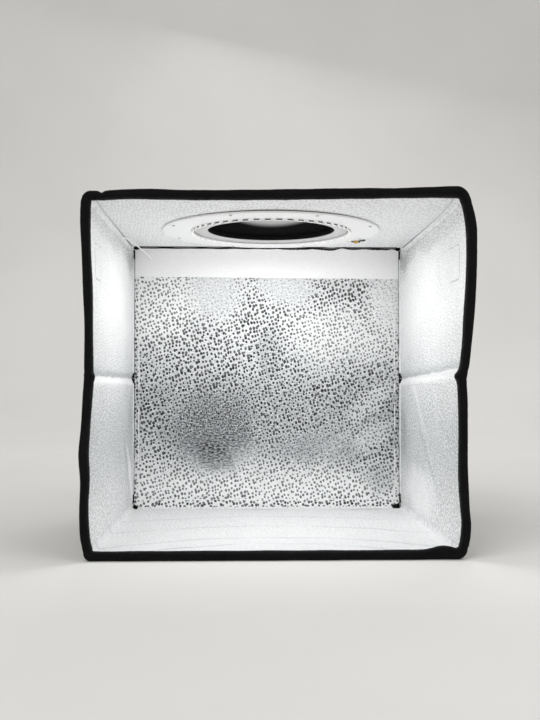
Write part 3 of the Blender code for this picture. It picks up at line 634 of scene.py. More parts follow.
def film_look(name, axes, levels, painted_tones=(), details=(), wrinkles=(), stretch=(1.0, 1.0),
              dots=1.0, size=1.0, soft=0.06, relief=1.0, grain=1.0):
    """Embossed film: a pebbled silver-white face with painted light and shade: its grey level and tones, dark
    dots that stand for the shaded steep sides of its pebbles, and a painted highlight round each dot.
    """
    n = Nodes(name)
    where = n.axes()
    a, b = where[axes[0]], where[axes[1]]
    flat = n.join(a, b)
    shaken = n.stir(n.stir(flat, flat, 700.0, 1.0, (0.0005, 0.0006)), flat, 40.0, 1.0, (0.005, 0.005))
    across, along, _ = n.axes(n.vector("MULTIPLY", shaken, (*stretch, 1.0)))
    turned = n.join(along * 0.30 + across, across * -0.30 + along * 0.84)
    cells = n.voronoi(FILM_CELLS, turned, flat=True, spread=0.64)
    middle = cells["Distance"]
    chance = n.axes(cells["Color"])
    drifted = n.stir(flat, flat, 26.0, 3.0, (0.026, 0.026))
    # Painted light and shade: the grey level from the levels, made darker or lighter by the painted tones
    level, share = n.ramp(n.axes(drifted)[1], levels), 1.0
    for tone in painted_tones:
        away = n.vector("SUBTRACT", drifted, (tone.a, tone.b, 0.0))
        cosine, sine = math.cos(math.radians(tone.turn)), math.sin(math.radians(tone.turn))
        along_a = n.dot(away, (cosine / tone.reach_a, sine / tone.reach_a, 0.0))
        along_b = n.dot(away, (-sine / tone.reach_b, cosine / tone.reach_b, 0.0))
        near = n.remap(n.length(n.join(along_a, along_b)), 0.35, 1.0, 1.0, 0.0)
        level = level * (near * (tone.level - 1.0) + 1.0)
        share = share * (near * (tone.dots - 1.0) + 1.0)
    patchy = (share * 0.50 + 0.50) * n.remap(n.noise(22.0, 2.0, flat), 0.3, 0.7, 0.92, 1.08)
    girth = (chance[0] * (0.15 * size) + 0.276 * size) * patchy
    # Painted shade: the dark dots stand for the shaded steep sides of the pebbles
    dot = n.remap(middle, girth - soft, girth + soft, 1.0, 0.0)
    rim = n.remap(middle, girth + soft * 0.5, girth + 0.18, 1.0, 0.0)
    strength = (chance[1] * 0.16 + 0.84) * dots
    cover = n.math("MULTIPLY", dot, strength * n.math("POWER", share, 0.40), clamp=True)
    cloud = n.noise(70.0, 4.0, flat) * 0.12 - 0.06
    fine = n.noise(520.0, 2.0, n.vector("MULTIPLY", flat, (0.75 * stretch[0], 1.5 * stretch[1] ** 0.5, 0.0)))
    # Painted shading of the fine relief: its grain gains contrast where the level is low
    fine = (fine - 0.5) * (level * (-1.7 * grain) + 1.95 * grain)
    # Painted highlight: a lighter rim round each dot, strongest where the level is low
    rim = rim * (0.95 - level) * (strength * share * 0.60)
    level = n.math("ADD", level + cloud, fine + rim, clamp=True)
    for add, values in details:
        level, cover = add(n, a, b, flat, level, cover, *values)
    folds = sum(wrinkle(n, a, b, flat, *values) for values in wrinkles)
    # Painted shade of the wrinkles
    level = level - folds * 0.22
    # Painted shade: the colour turns bluer where the level is low
    shade_tint = n.mix(n.remap(level, 0.5, 0.85), (0.955, 1.0, 1.025), (0.992, 1.0, 1.004))
    colour = n.mix(cover, n.mix(level, (0.0, 0.0, 0.0), shade_tint), FILM_SHADOW)
    normal = n.bump(n.remap(middle, 0.0, 0.5) - 1.0 + folds, 0.00022 * relief)
    normal = n.bump(n.noise(1300.0, 2.0, flat), 0.00012 * relief, normal)
    return n.finish(colour, 0.42, normal, Specular_IOR_Level=0.30)


def woven_look(name, colour, thread, roughness, sheen, lint=0.5):
    """Plain weave: two sets of threads crossing over and under each other, with a little dust."""
    n = Nodes(name)
    waves = [n.math("SINE", value * (FULL_TURN / thread)) for value in n.axes()]
    ribs = waves[0] * waves[1] + waves[1] * waves[2] + waves[2] * waves[0]
    lighter = tuple(min(1.0, c * 2.0 + 0.002) for c in colour)
    tone = n.mix(n.remap(n.noise(35.0, 5.0), 0.45, 0.8, 0.0, 0.6), colour, lighter)
    tone = n.mix(n.remap(ribs, -1.0, 1.5, 0.0, 0.35), tone, lighter)
    tone = n.mix(n.remap(n.noise(800.0, 1.0), 0.68, 0.78, 0.0, 0.08 * lint), tone, (0.25, 0.24, 0.23))
    normal = n.bump(ribs, thread * 0.12, n.bump(n.noise(60.0, 3.0), 0.0008))
    return n.finish(tone, roughness, normal, Sheen_Weight=sheen, Sheen_Roughness=0.4, Specular_IOR_Level=0.09)


def pile_look(name, colour, scale, depth, roughness=0.95, sheen=0.1):
    """Hook or loop tape: a dense pile of small loops on a woven ground."""
    n = Nodes(name)
    loops, patchy = n.voronoi(scale)["Distance"], n.noise(160.0, 3.0)
    tone = n.mix(n.remap(loops, 0.3, 1.0, 0.0, 0.3), colour, tuple(c * 0.8 for c in colour))
    tone = n.mix(n.remap(patchy, 0.35, 0.7, 0.0, 0.3), tone, tuple(min(1.0, c * 1.03) for c in colour))
    return n.finish(tone, roughness, n.bump(loops, depth, n.bump(patchy, depth)), Sheen_Weight=sheen)


def moulded_look(name, colour, roughness, metallic=0.0, speck=0.08):
    """Moulded or coated surface with slight mottling and a fine uneven skin."""
    n = Nodes(name)
    darker = tuple(c * (1 - 4 * speck) for c in colour)
    tone = n.mix(n.remap(n.noise(250.0, 4.0), 0.35, 0.75), colour, darker)
    rough = n.remap(n.noise(100.0, 3.0), 0.3, 0.7, roughness * 0.85, min(1.0, roughness * 1.15))
    return n.finish(tone, rough, n.bump(n.noise(750.0, 2.0), 0.00005), Metallic=metallic)


def eyelet_look():
    """The hole's edging: grey below, a painted shade of the lining that lies in shadow there, and black fabric
    above in its neck.
    """
    n = Nodes("eyelet")
    x, y, z = n.axes()
    edge = n.remap(n.length(n.join(x, y)), 0.0570, 0.0574)
    high = n.math("MAXIMUM", edge, n.remap(z, CEILING_Z - 0.0004, CEILING_Z))
    tone = n.mix(n.noise(200.0, 3.0), (0.52, 0.52, 0.52), (0.60, 0.60, 0.595))
    normal = n.bump(n.noise(500.0, 2.0), 0.00005)
    return n.finish(n.mix(high, tone, (0.003, 0.003, 0.003)), 0.6, normal, Specular_IOR_Level=0.15)


def lining_look():
    """The disc under the flap: painted light, grey at its front and fading to black."""
    n = Nodes("flap lining")
    x, y, _ = n.axes()
    # Painted light on the black lining
    light = n.remap(x * x * 34.0 + y, -0.020, 0.009, 1.0, 0.0)
    tone = n.mix(light, (0.002, 0.002, 0.002), (0.36, 0.36, 0.355))
    return n.finish(tone, 0.9, n.bump(n.noise(900.0), 0.0001), Specular_IOR_Level=0.02)


def lens_look():
    """The lit window of a bead."""
    n = Nodes("lit bead")
    n.put(n.shader.inputs["Emission Color"], n.mix(n.noise(600.0, 1.0), (1.0, 0.97, 0.90), (1.0, 0.99, 0.95)))
    return n.finish((1.0, 0.99, 0.95), 0.3, Emission_Strength=0.15)


BACK_FILM = {"details": ((edge_line, (0.111, 0.0097)),), "soft": 0.04}
FLOOR_FILM = {"wrinkles": FLOOR_WRINKLES, "dots": 0.30, "size": 0.6, "grain": 0.6, "stretch": (1.0, 0.8)}
CEILING_FILM = {"dots": 0.20, "size": 0.9, "soft": 0.12, "grain": 0.8, "stretch": (1.25, 0.6)}
CEILING_FILM["details"] = ((seam_line, (0.1139, 0.1116, 0.9)),)
WALL_FILM = {"dots": 0.28, "size": 0.9, "soft": 0.12, "relief": 1.3, "grain": 1.2, "stretch": (0.6, 1.5)}
LEFT_FILM = {**WALL_FILM, "details": ((crease_band, (0.0010,)), (patch_outline, PATCH_LINE))}
RIGHT_FILM = {**WALL_FILM, "details": ((crease_band, (0.0060,)), (patch_outline, PATCH_LINE))}
SHELL_WEAVE = ((0.012, 0.012, 0.0128), 0.0007, 0.80, 0.03)

looks = {
    "back": film_look("back film", (0, 2), BACK_PAINTED_LEVELS, BACK_PAINTED_TONES, **BACK_FILM),
    "floor": film_look("floor film", (0, 1), FLOOR_PAINTED_LEVELS, FLOOR_PAINTED_TONES, **FLOOR_FILM),
    "ceiling": film_look("ceiling film", (0, 1), CEILING_PAINTED_LEVELS, **CEILING_FILM),
    "left_wall": film_look("left wall film", (1, 2), WALL_PAINTED_LEVELS, LEFT_PAINTED_TONES, **LEFT_FILM),
    "right_wall": film_look("right wall film", (1, 2), WALL_PAINTED_LEVELS, RIGHT_PAINTED_TONES, **RIGHT_FILM),
    "shell": woven_look("shell fabric", *SHELL_WEAVE),
    "flap": woven_look("flap fabric", *SHELL_WEAVE),
    "binding": woven_look("binding fabric", (0.0028, 0.0026, 0.0028), 0.0009, 0.62, 0.004, lint=0.15),
    "piping": moulded_look("film edge", (0.80, 0.81, 0.82), 0.45, speck=0.03),
    "strip": pile_look("backdrop tape", (0.985, 0.985, 0.98), 900.0, 0.00004, sheen=0.0),
    "loop": pile_look("loop patch", (0.008, 0.008, 0.0085), 900.0, 0.00020),
    "hook": pile_look("hook patch", (0.012, 0.012, 0.0125), 1100.0, 0.00025, 0.6),
    "lamp": moulded_look("lamp board", (0.93, 0.93, 0.925), 0.34, speck=0.004),
    "bead": moulded_look("lamp bead", (0.95, 0.95, 0.945), 0.45, speck=0.002),
    # Painted shade: a dark copy of the beads' white for their outward sides
    "bead_shaded_side": moulded_look("bead side", (0.13, 0.13, 0.12), 0.45),
    "rivet": moulded_look("rivet", (0.60, 0.60, 0.59), 0.40),
    "contact": moulded_look("solder contact", (0.86, 0.80, 0.62), 0.40, 0.2, speck=0.03),
    "solder": moulded_look("solder", (0.66, 0.42, 0.08), 0.35, 0.4),
    "lead": moulded_look("lead", (0.012, 0.012, 0.012), 0.45),
    "gland": moulded_look("gland", (0.016, 0.016, 0.016), 0.65),
    "thread": moulded_look("thread", (0.016, 0.016, 0.017), 0.60),
    "white_thread": moulded_look("white thread", (0.98, 0.98, 0.96), 0.70, speck=0.002),
    "eyelet": eyelet_look(),
    "lining": lining_look(),
    "lens": lens_look(),
}

# The plane of each panel: its start, the directions across it and along it, and the one into the tent.
# A point is start + a across + b along + h inward, and h is 0 on the lining's face.
PLANES = {
    "bottom": ((0, 0, FLOOR_Z), X_AXIS, Y_AXIS, Z_AXIS),
    "top": ((0, 0, CEILING_Z), X_AXIS, Y_AXIS, (0, 0, -1)),
    "back": ((0, BACK_AXIS.y, 0), X_AXIS, Z_AXIS, (0, -1, 0)),
    "left": ((-INNER_X, 0, 0), Y_AXIS, Z_AXIS, X_AXIS),
    "right": ((INNER_X, 0, 0), Y_AXIS, Z_AXIS, (-1, 0, 0)),
    "flap": ((0, 0, FLAP_LOW.z), X_AXIS, Y_AXIS, (0, 0, -1)),
}
PLANES = {side: np.array(plane, float) for side, plane in PLANES.items()}


def place(side, a, b, h):
    """Points of a panel, from places in its plane and heights over its lining's face."""
    start, across, along, inward = PLANES[side]
    a, b, h = (value[..., None] for value in np.broadcast_arrays(a, b, h))
    return warp(start + a * across + b * along + h * inward)


def pressed(axis, middle, keep, joint="wall_fold"):
    """A record of how a piece is to be pressed flat along an axis, towards a place on it, as a joint closes."""
    return {"joint": joint, "axis": axis, "anchor": tuple(middle * part for part in axis), "keep": keep}


# A bowed wall is to lie flat when the tent is folded. The rear of the ceiling is lifted at rest, and the back,
# which is drawn up with it, is to shrink again as it folds down. dress only gives each squeezed piece its own
# mesh.
WALL_KEEP = {"left": 0.60, "right": 0.44}
WALL_MIDDLE = HALF - BINDING / 2
WALL_SQUEEZE = {side: pressed(X_AXIS, SIDES[side] * WALL_MIDDLE, keep) for side, keep in WALL_KEEP.items()}
BACK_SQUEEZE = pressed(Z_AXIS, BACK_AXIS.z, 0.975, "back_fold")


def fullness(a, b, seed, middle, edge):
    """How the outside of a board swells in its middle and is pulled in along its stitches."""
    full = SLAB_PUFF * middle * (1 + 0.6 * swell(a, b, seed, 0.06))
    return full - SEAM_DEPTH * bell(edge, SEAM_INSET, SEAM_REACH)


def outer_depth(a, b, a_range, b_range, seed):
    """How deep the outside of a board lies behind the lining's face, rounded at the edges."""
    in_a, in_b = inside(a, *a_range), inside(b, *b_range)
    body = (THICK - FILM - HAIR) * quarter_round(in_a, SLAB_ROUND) * quarter_round(in_b, SLAB_ROUND)
    middle = ease(in_a / PUFF_REACH) * ease(in_b / PUFF_REACH)
    return FILM + HAIR + body + fullness(a, b, seed, middle, np.minimum(in_a, in_b))


def make_stitches(name, starts, ends, outward):
    """A row of stitches as one piece: small rounded rods from each start to each end."""
    ring, upward = rings_round(ends - starts, outward, STITCH_SIDES)
    points, faces = [], []
    for share, girth, lift in STITCH_SECTIONS:
        middle = starts + (ends - starts) * share + upward * STITCH_RADIUS * lift
        points.append(middle[:, None] + ring * STITCH_RADIUS * girth)
    size = len(STITCH_SECTIONS) * STITCH_SIDES
    for first in range(0, len(starts) * size, size):
        last = first + size
        faces += grid_faces(len(STITCH_SECTIONS), STITCH_SIDES, first, wrap=True)
        faces += [tuple(range(first, first + STITCH_SIDES)), tuple(range(last - STITCH_SIDES, last))]
    return make_piece(name, np.stack(points, axis=1), faces, looks["thread"])


def make_board(body, side, a_range, b_range, seed, squeeze):
    """A board in its outer fabric, flat on the inside, and the stitches round it."""
    aa, bb = np.meshgrid(*(spread(*limits, SHELL_STEP, SEAM_INSET) for limits in (a_range, b_range)))
    face = place(side, aa, bb, -outer_depth(aa, bb, a_range, b_range, seed))
    item = make_shell(f"{body}_shell", face, place(side, aa, bb, -FILM - HAIR), "shell")
    dress(item, body, [f"{body}_cover", f"{body}_board"], squeeze=squeeze)
    seams = [(low + SEAM_INSET, high - SEAM_INSET) for low, high in (a_range, b_range)]
    found = []
    for (low, high), across in (seams, seams[::-1]):
        count = max(1, int((high - low) / STITCH_PITCH))
        run = low + (high - low) * (np.arange(count) + 0.5) / count
        for level in across:
            for along in (run - STITCH_LENGTH / 2, run + STITCH_LENGTH / 2):
                a, b = (along, level) if across is seams[1] else (level, along)
                found.append(place(side, a, b, -outer_depth(a, b, a_range, b_range, seed)))
    starts, ends = np.concatenate(found[0::2]), np.concatenate(found[1::2])
    shown = starts[:, 1] > BINDING_REAR_Y
    item = make_stitches(f"{body}_stitches", starts[shown], ends[shown], -PLANES[side][3])
    dress(item, body, squeeze=squeeze)


def level_profile(half, rise, radius):
    """Across a tray from rim to rim: places (x, h), with both sides turned up on a radius."""
    side = [(half, h) for h in np.linspace(rise, radius, 4)[:-1]]
    side += arc((half - radius, radius), radius, 0, -QUARTER, 7)
    flat = [(x, 0.0) for x in np.linspace(half - radius, radius - half, 90)[1:-1]]
    return np.array(side + flat + [(-x, h) for x, h in side[::-1]])


def cut_hole(item):
    """Cut the shooting hole through a piece for good."""
    low, high = CEILING_Z - THICK, TOP_Z + THICK
    size = {"radius1": HOLE_RADIUS, "radius2": HOLE_RADIUS, "depth": high - low}
    form = bmesh.new()
    bmesh.ops.create_cone(form, cap_ends=True, segments=HOLE_STEPS, **size)
    bmesh.ops.translate(form, verts=form.verts, vec=(0, 0, (low + high) / 2))
    mesh = bpy.data.meshes.new("hole")
    form.to_mesh(mesh)
    form.free()
    cutter = add_object("hole", mesh)
    modifier = item.modifiers.new("cut", "BOOLEAN")
    modifier.operation = "DIFFERENCE"
    modifier.object = cutter
    bpy.context.view_layer.update()
    made = bpy.data.meshes.new_from_object(item.evaluated_get(bpy.context.evaluated_depsgraph_get()))
    item.modifiers.clear()
    item.data = made
    bpy.data.objects.remove(cutter)


def make_tray(side, rear_y):
    """The fabric of the floor or the ceiling, whose sides are turned to meet the walls."""
    rise = SIDE_RISE[side] - 2 * HAIR
    b = spread(COVER_FRONT_Y - TUCK, rear_y, SHELL_STEP, SEAM_INSET)[:, None]
    a_in, h_in = level_profile(INNER_X + FILM, rise + FILM + HAIR, TURN_RADIUS + FILM + HAIR).T
    a_out, h_out = level_profile(OUTER_X, rise + THICK, OUTER_RADIUS).T
    h_in, h_out = h_in - FILM - HAIR, h_out - THICK
    in_b = inside(b, b[0], b[-1])
    over = quarter_round(in_b, SLAB_ROUND)
    deeper, parts = 0.0, ["cover", "board", "left_gusset", "right_gusset"]
    if side == "top":
        edge = np.minimum(OUTER_X - OUTER_RADIUS - np.abs(a_out), in_b)
        deeper = fullness(a_out, b, 4, ease(edge / PUFF_REACH), edge)
    face = place(side, a_in + (a_out - a_in) * over, b, h_in + (h_out - h_in) * over - deeper)
    item = make_shell(f"{side}_shell", face, place(side, a_in, b, h_in), "shell")
    if side == "top":
        cut_hole(item)
    else:
        parts.append("rear_gusset")
    return dress(item, side, [f"{side}_{part}" for part in parts])


def drawn_in(places, cut):
    """Places along a film, drawn in at their high end by a cut."""
    low, high = places.min(), places.max()
    return low + (places - low) * (high - cut - low) / (high - low)


def make_level_film(side, rear_y):
    """The lining of the floor or the ceiling, whose sides are turned up to the seams of the walls."""
    rise = SIDE_RISE[side] - HAIR
    x, h = level_profile(INNER_X - HAIR, rise, TURN_RADIUS).T
    under_x, under_h = level_profile(INNER_X - HAIR + FILM, rise + FILM, TURN_RADIUS + FILM).T
    along = spread(BINDING_REAR_Y - TUCK, rear_y, LEVEL_STEP)[:, None]
    y = drawn_in(along, TRIM * ease((np.abs(x) - (INNER_X - TRIM - TURN_RADIUS)) / TRIM))
    wave = 0.00022 * swell(x, y, 5, 0.05) * ease((INNER_X - 0.006 - np.abs(x)) / CALM_REACH)
    width = 2 * (INNER_X - TURN_RADIUS) + math.pi * TURN_RADIUS + 2 * (rise - TURN_RADIUS)
    length = np.ptp(along)
    area = width * length
    if side == "top":
        # Flat where the lamp's board lies against it
        wave = wave * np.maximum(ease((np.abs(x) - 0.086) / CALM_REACH), ease((-0.085 - y) / 0.015))
        area -= math.pi * HOLE_RADIUS**2
    look = "floor" if side == "bottom" else "ceiling"
    rear = place(side, under_x, y, under_h - FILM + wave)
    item = make_shell(f"{side}_film", place(side, x, y, h + wave), rear, look)
    if side == "top":
        cut_hole(item)
    return dress(item, side, [f"{side}_lining"])


def half_range(half, at_seam, at_crease):
    """The heights of a wall half, less a margin at the tent's seam and one at the wall's crease."""
    low, high = HALVES[half]
    if half == "lower":
        return low + at_seam, high - at_crease
    return low + at_crease, high - at_seam


def wall_height(a, b, side):
    """How far a wall's lining stands in from its plane: a slight undulation and the crease's groove."""
    calm = ease(inside(a, BINDING_REAR_Y, WALL_REAR_Y) / CALM_REACH)
    calm = calm * ease(inside(b, LOWER_Z, UPPER_Z) / CALM_REACH)
    wave = 0.00030 * swell(a, b, SIDES[side] + 12, 0.040) * calm
    return wave - GROOVE_DEPTH * bell(b, CREASE_Z, GROOVE_REACH)


def make_wall_film(side, half):
    """The lining of one wall half, with its rear corners trimmed and closer rows at the crease."""
    body = f"{side}_{half}"
    low, high = HALVES[half]
    near = CREASE_Z + GROOVE_REACH * np.array((-2, -1.5, -1, -0.6, -0.3, -0.1, 0.1, 0.3, 0.6, 1, 1.5, 2))
    b = np.unique(np.concatenate([spread(low + HAIR, high - HAIR, LEVEL_STEP), near]))
    b = b[(b >= low + HAIR) & (b <= high - HAIR)][:, None]
    along = spread(BINDING_REAR_Y - TUCK, WALL_REAR_Y - GAP, FILM_STEP)
    a = drawn_in(along, TRIM * ease(1 - inside(b, low, high) / TRIM))
    h = wall_height(a, b, side)
    face, rear = place(side, a, b, h), place(side, a, b, h - FILM)
    item = make_sheet(f"{body}_film", face, rear, f"{side}_wall")
    return dress(item, body, [f"{body}_lining"], squeeze=WALL_SQUEEZE[side])


def crease_bend(side, reach):
    x = SIDES[side] * CREASE_X
    return f"{side}_upper", f"{side}_lower", (x, 0, CREASE_Z + reach), (x, 0, CREASE_Z - reach)


def make_crease_film(side):
    """The strip of film that runs on across a wall's crease."""
    reach = 0.0056
    a = spread(BINDING_REAR_Y - TUCK, WALL_REAR_Y - 2 * TRIM, FILM_STEP)
    away = reach * np.linspace(-1, 1, 29)[:, None]
    b = CREASE_Z + away
    h = wall_height(a, b, side) + 1.2 * HAIR * quarter_round(reach - np.abs(away), reach / 3)
    face, rear = place(side, a, b, h), place(side, a, b, h - 0.8 * HAIR)
    look, flat = f"{side}_wall", (np.ptp(a), 2 * reach)
    item = make_sheet(f"{side}_crease_film", face, rear, look)
    return dress(item, bend=crease_bend(side, 0.0022))


def make_crease_strip(side):
    """The outer fabric between the two boards of a wall, on which the wall folds."""
    reach = CREASE_MARGIN + SLAB_ROUND
    a = spread(COVER_FRONT_Y, WALL_REAR_Y - HAIR, STRIP_STEP)
    away = reach * np.linspace(-1, 1, 25)[:, None]
    proud = (0.0005 - 0.0004 * bell(away, 0, 0.0010)) * quarter_round(reach - np.abs(away), 0.0006)
    rear, face = (place(side, a, CREASE_Z + away, 0.0008 - THICK - out) for out in (0.0, proud))
    item = make_sheet(f"{side}_crease_strip", face, rear, "shell")
    return dress(item, bend=crease_bend(side, CREASE_MARGIN))


def make_corner_strip(side, level):
    """Outer fabric round the long edge between the floor or the ceiling and a wall."""
    low_end = level == "bottom"
    turn, seam_z, end_z = (1, LOWER_Z, 0.0) if low_end else (-1, UPPER_Z, TOP_Z)
    on_tray = abs(seam_z - end_z) - OUTER_RADIUS - GAP
    on_wall = STRIP_WIDTH - on_tray
    y = spread(COVER_FRONT_Y, WALL_REAR_Y - HAIR, STRIP_STEP)
    away = np.linspace(-on_tray, on_wall, 21)[:, None]
    proud = 0.0006 * quarter_round(inside(away, -on_tray, on_wall), 0.0016) * (1 - 0.35 * bell(away, 0, 0.0008))
    x = OUTER_X + SLAB_PUFF * 0.2
    rear, face = (warp(points_at(SIDES[side] * (x + out), y, seam_z + turn * away)) for out in (0.0, proud))
    name = f"{side}_{'floor' if low_end else 'roof'}_strip"
    item = make_sheet(name, face, rear, "shell")
    wall = f"{side}_{'lower' if low_end else 'upper'}"
    if wall == "right_lower":
        # The fold's open end, where the floor isn't joined to the wall
        return dress(item, wall, squeeze=WALL_SQUEEZE[side])
    start, end = ((0, 0, seam_z + way * turn * on_tray) for way in (-1, 1))
    return dress(item, bend=(level, wall, start, end))


def second_look(item, look, chosen):
    """Give another look to the faces that are chosen."""
    item.data.materials.append(looks[look])
    for face in item.data.polygons:
        face.material_index = int(chosen(face))


def make_back():
    """The back panel: its board in fabric, and its film, cut askew at the foot."""
    make_board("back", "back", (BACK_LOW.x, BACK_HIGH.x), (BACK_LOW.z, BACK_HIGH.z), 21, BACK_SQUEEZE)
    inset = 0.0007
    a = spread(BACK_LOW.x + inset, BACK_HIGH.x - inset, FILM_STEP)
    low, high = BACK_LOW.z + inset, STRIP_HIGH.z - inset
    short = 0.0016 * ease(1 - (a - a[0]) / 0.003) + 0.0018 * ease(1 - (a[-1] - a) / 0.008)
    b = high + (spread(low, high, FILM_STEP)[:, None] - high) * (1 - short / (high - low))
    calm = ease((a[-1] - np.abs(a)) / CALM_REACH) * ease(inside(b, low, STRIP_LOW.z) / CALM_REACH)
    h = 0.0003 * swell(a, b, 3, 0.045) * calm
    face, rear = place("back", a, b, h), place("back", a, b, h - FILM)
    film = make_sheet("back_film", face, rear, "back")
    dress(film, "back", ["back_lining"], squeeze=BACK_SQUEEZE)


def make_back_seam():
    """The strip of film that turns up from the floor to the back, and closes the fold between them."""
    corner = 0.0008
    face_y, face_z = BACK_AXIS.y - 2 * HAIR, FLOOR_Z + 2 * HAIR
    path = run_between((face_y - 0.0086, face_z), (face_y - corner, face_z), 6)
    path += arc((face_y - corner, face_z + corner), corner, -QUARTER, 0, 5)[1:]
    path += run_between(path[-1], (face_y, BACK_AXIS.z + 0.0024), 6)[1:]
    x = spread(-INNER_X + TRIM + GAP, INNER_X - 2 * TRIM, 0.003)
    y, z = np.array(path).T[..., None]
    on_back = ease((y - (face_y - corner)) / corner)
    face = warp(points_at(x, y, z))
    rear = warp(points_at(x, y + HAIR * on_back, z - HAIR * (1 - on_back)))
    strip = make_sheet("back_seam_film", face, rear, "floor")
    second_look(strip, "back", lambda face: face.center.z > FLOOR_Z + 0.0008)
    bend = ("bottom", "back", (0, BACK_AXIS.y, FLOOR_Z + 0.0005), (0, BACK_AXIS.y, BACK_AXIS.z + 0.0008))
    dress(strip, bend=bend)


def make_hem(body, side, a_range, b_range, inward=0.0005, under=THICK):
    """A soft folded edge that closes the rear of a panel."""
    ranges, short = (a_range, b_range), 0 if side in SIDES else 1
    counts = [max(3, round((high - low) / STRIP_STEP)) for low, high in ranges]
    counts[short] = 9
    grid = np.meshgrid(*(np.linspace(*limits, count) for limits, count in zip(ranges, counts)))
    run, along = grid[short], grid[1 - short]
    share = (run - run.min()) / np.ptp(run)
    full = np.sqrt(np.clip(1 - share**6, 0, 1)) * (0.94 + 0.06 * swell(along, run, 17, 0.02))
    middle, half = (inward - under) / 2, (inward + under) / 2 * full
    face, rear = place(side, *grid, middle + half), place(side, *grid, middle - half)
    item = make_shell(f"{body}_hem", face, rear, "shell")
    return dress(item, body, squeeze=pressed(Y_AXIS, WALL_REAR_Y, CRUMPLED))


def make_piping(side, half):
    """The rolled rear edge of a wall's lining, next to the back."""
    radius, end = PIPING_RADIUS[side], 0.0016
    run = spread(*half_range(half, 2 * TRIM, CREASE_MARGIN), 0.003, end)
    angles = round_angles(12)
    girth = radius * (0.15 + 0.85 * quarter_round(inside(run, run[0], run[-1]), end))
    girth = (girth * (1 + 0.12 * swell(run, 0.0, 81, 0.02)))[:, None]
    a = WALL_REAR_Y - GAP - radius + girth * np.cos(angles)
    rings = place(side, a, run[:, None], girth * (0.15 + np.sin(angles)))
    item = make_tube(f"{side}_{half}_piping", rings, "piping")
    squeeze = pressed(X_AXIS, SIDES[side] * INNER_X, CRUMPLED)
    return dress(item, f"{side}_{half}", squeeze=squeeze)


def make_tacks():
    """The black thread tacks in the four rear corners."""
    ring = ball(12, 0.06)
    at_floor, at_ceiling = ("bottom", "back_fold", FLOOR_Z), ("top", "wall_fold", CEILING_Z)
    for k, (x, z, reach) in enumerate(TACKS):
        body, joint, level = at_floor if z < CREASE_Z else at_ceiling
        lump = 1 + 0.22 * swell(ring[..., 0] + ring[..., 2], ring[..., 1], 90 + k, 1.6)
        points = (x, TACK_Y, z) + ring * lump[..., None] * (reach, 0.0012, reach * 0.6)
        item = make_tube(f"corner_tack_{k + 1}", warp(points), "binding")
        dress(item, body, squeeze=pressed(Z_AXIS, level, CRUMPLED, joint))


def make_panels():
    make_tray("bottom", REAR_Y)
    make_tray("top", WALL_REAR_Y)
    make_level_film("bottom", BACK_AXIS.y + HAIR)
    make_level_film("top", WALL_REAR_Y - GAP)
    across = INNER_X - TURN_RADIUS
    make_hem("top", "top", (-across, across), (WALL_REAR_Y + HAIR, REAR_Y), 0.0007)
    make_hem("bottom", "bottom", (-across, across), (BACK_AXIS.y + GAP, REAR_Y - GAP), 0.0024, 0.0008)
    make_tacks()
    make_back()
    make_back_seam()
    for side in SIDES:
        for half in HALVES:
            body, a_range = f"{side}_{half}", (COVER_FRONT_Y - TUCK, WALL_REAR_Y)
            b_range = half_range(half, GAP, CREASE_MARGIN)
            make_board(body, side, a_range, b_range, 35 + SIDES[side], WALL_SQUEEZE[side])
            make_wall_film(side, half)
            make_hem(body, side, (WALL_REAR_Y + HAIR, REAR_Y), half_range(half, GAP, HAIR))
            make_piping(side, half)
        make_crease_film(side)
        make_crease_strip(side)
    for level in SIDE_RISE:
        for side in SIDES:
            make_corner_strip(side, level)


def end_line(x, end_z, seam_z, radii):
    """A line of (x, z) points round the floor's or the ceiling's end, from its left seam to its right."""
    turn = 1 if seam_z > end_z else -1
    legs = []
    for sign, radius in zip(SIDES.values(), radii):
        start, finish = (2 * QUARTER, (2 + turn) * QUARTER) if sign < 0 else (0, -turn * QUARTER)
        leg = run_between((sign * x, seam_z), (sign * x, end_z + turn * radius), 4)
        legs.append(leg[:-1] + arc((sign * (x - radius), end_z + turn * radius), radius, start, finish))
    return legs[0] + run_between(legs[0][-1], legs[1][-1], 200)[1:-1] + legs[1][::-1]


def end_lines(end_z, seam_z, radii):
    """The outer and the inner line of the floor's or the ceiling's binding."""
    inner_z = end_z + math.copysign(BINDING, seam_z - end_z)
    return end_line(HALF, end_z, seam_z, radii), end_line(HALF - BINDING, inner_z, seam_z, (0.0006, 0.0006))


def push(line, toward, places, axis):
    """Move a line towards another by shares that peak at places on an axis: (place, width, share)."""
    line, toward = np.array(line), np.array(toward)
    moved = sum(share * bell(line[:, axis], middle, width) for middle, width, share in places)
    return line + (toward - line) * moved[:, None]


def side_lines(side, low, high, step=0.0012):
    """The outer and the inner line of a side's binding between two heights."""
    places = [SIDES[side] * x for x in (HALF, HALF - BINDING)]
    outer, inner = (straight((x, low), (x, high), step) for x in places)
    return outer, push(inner, outer, [CREASE_STEPS[side]], 1)


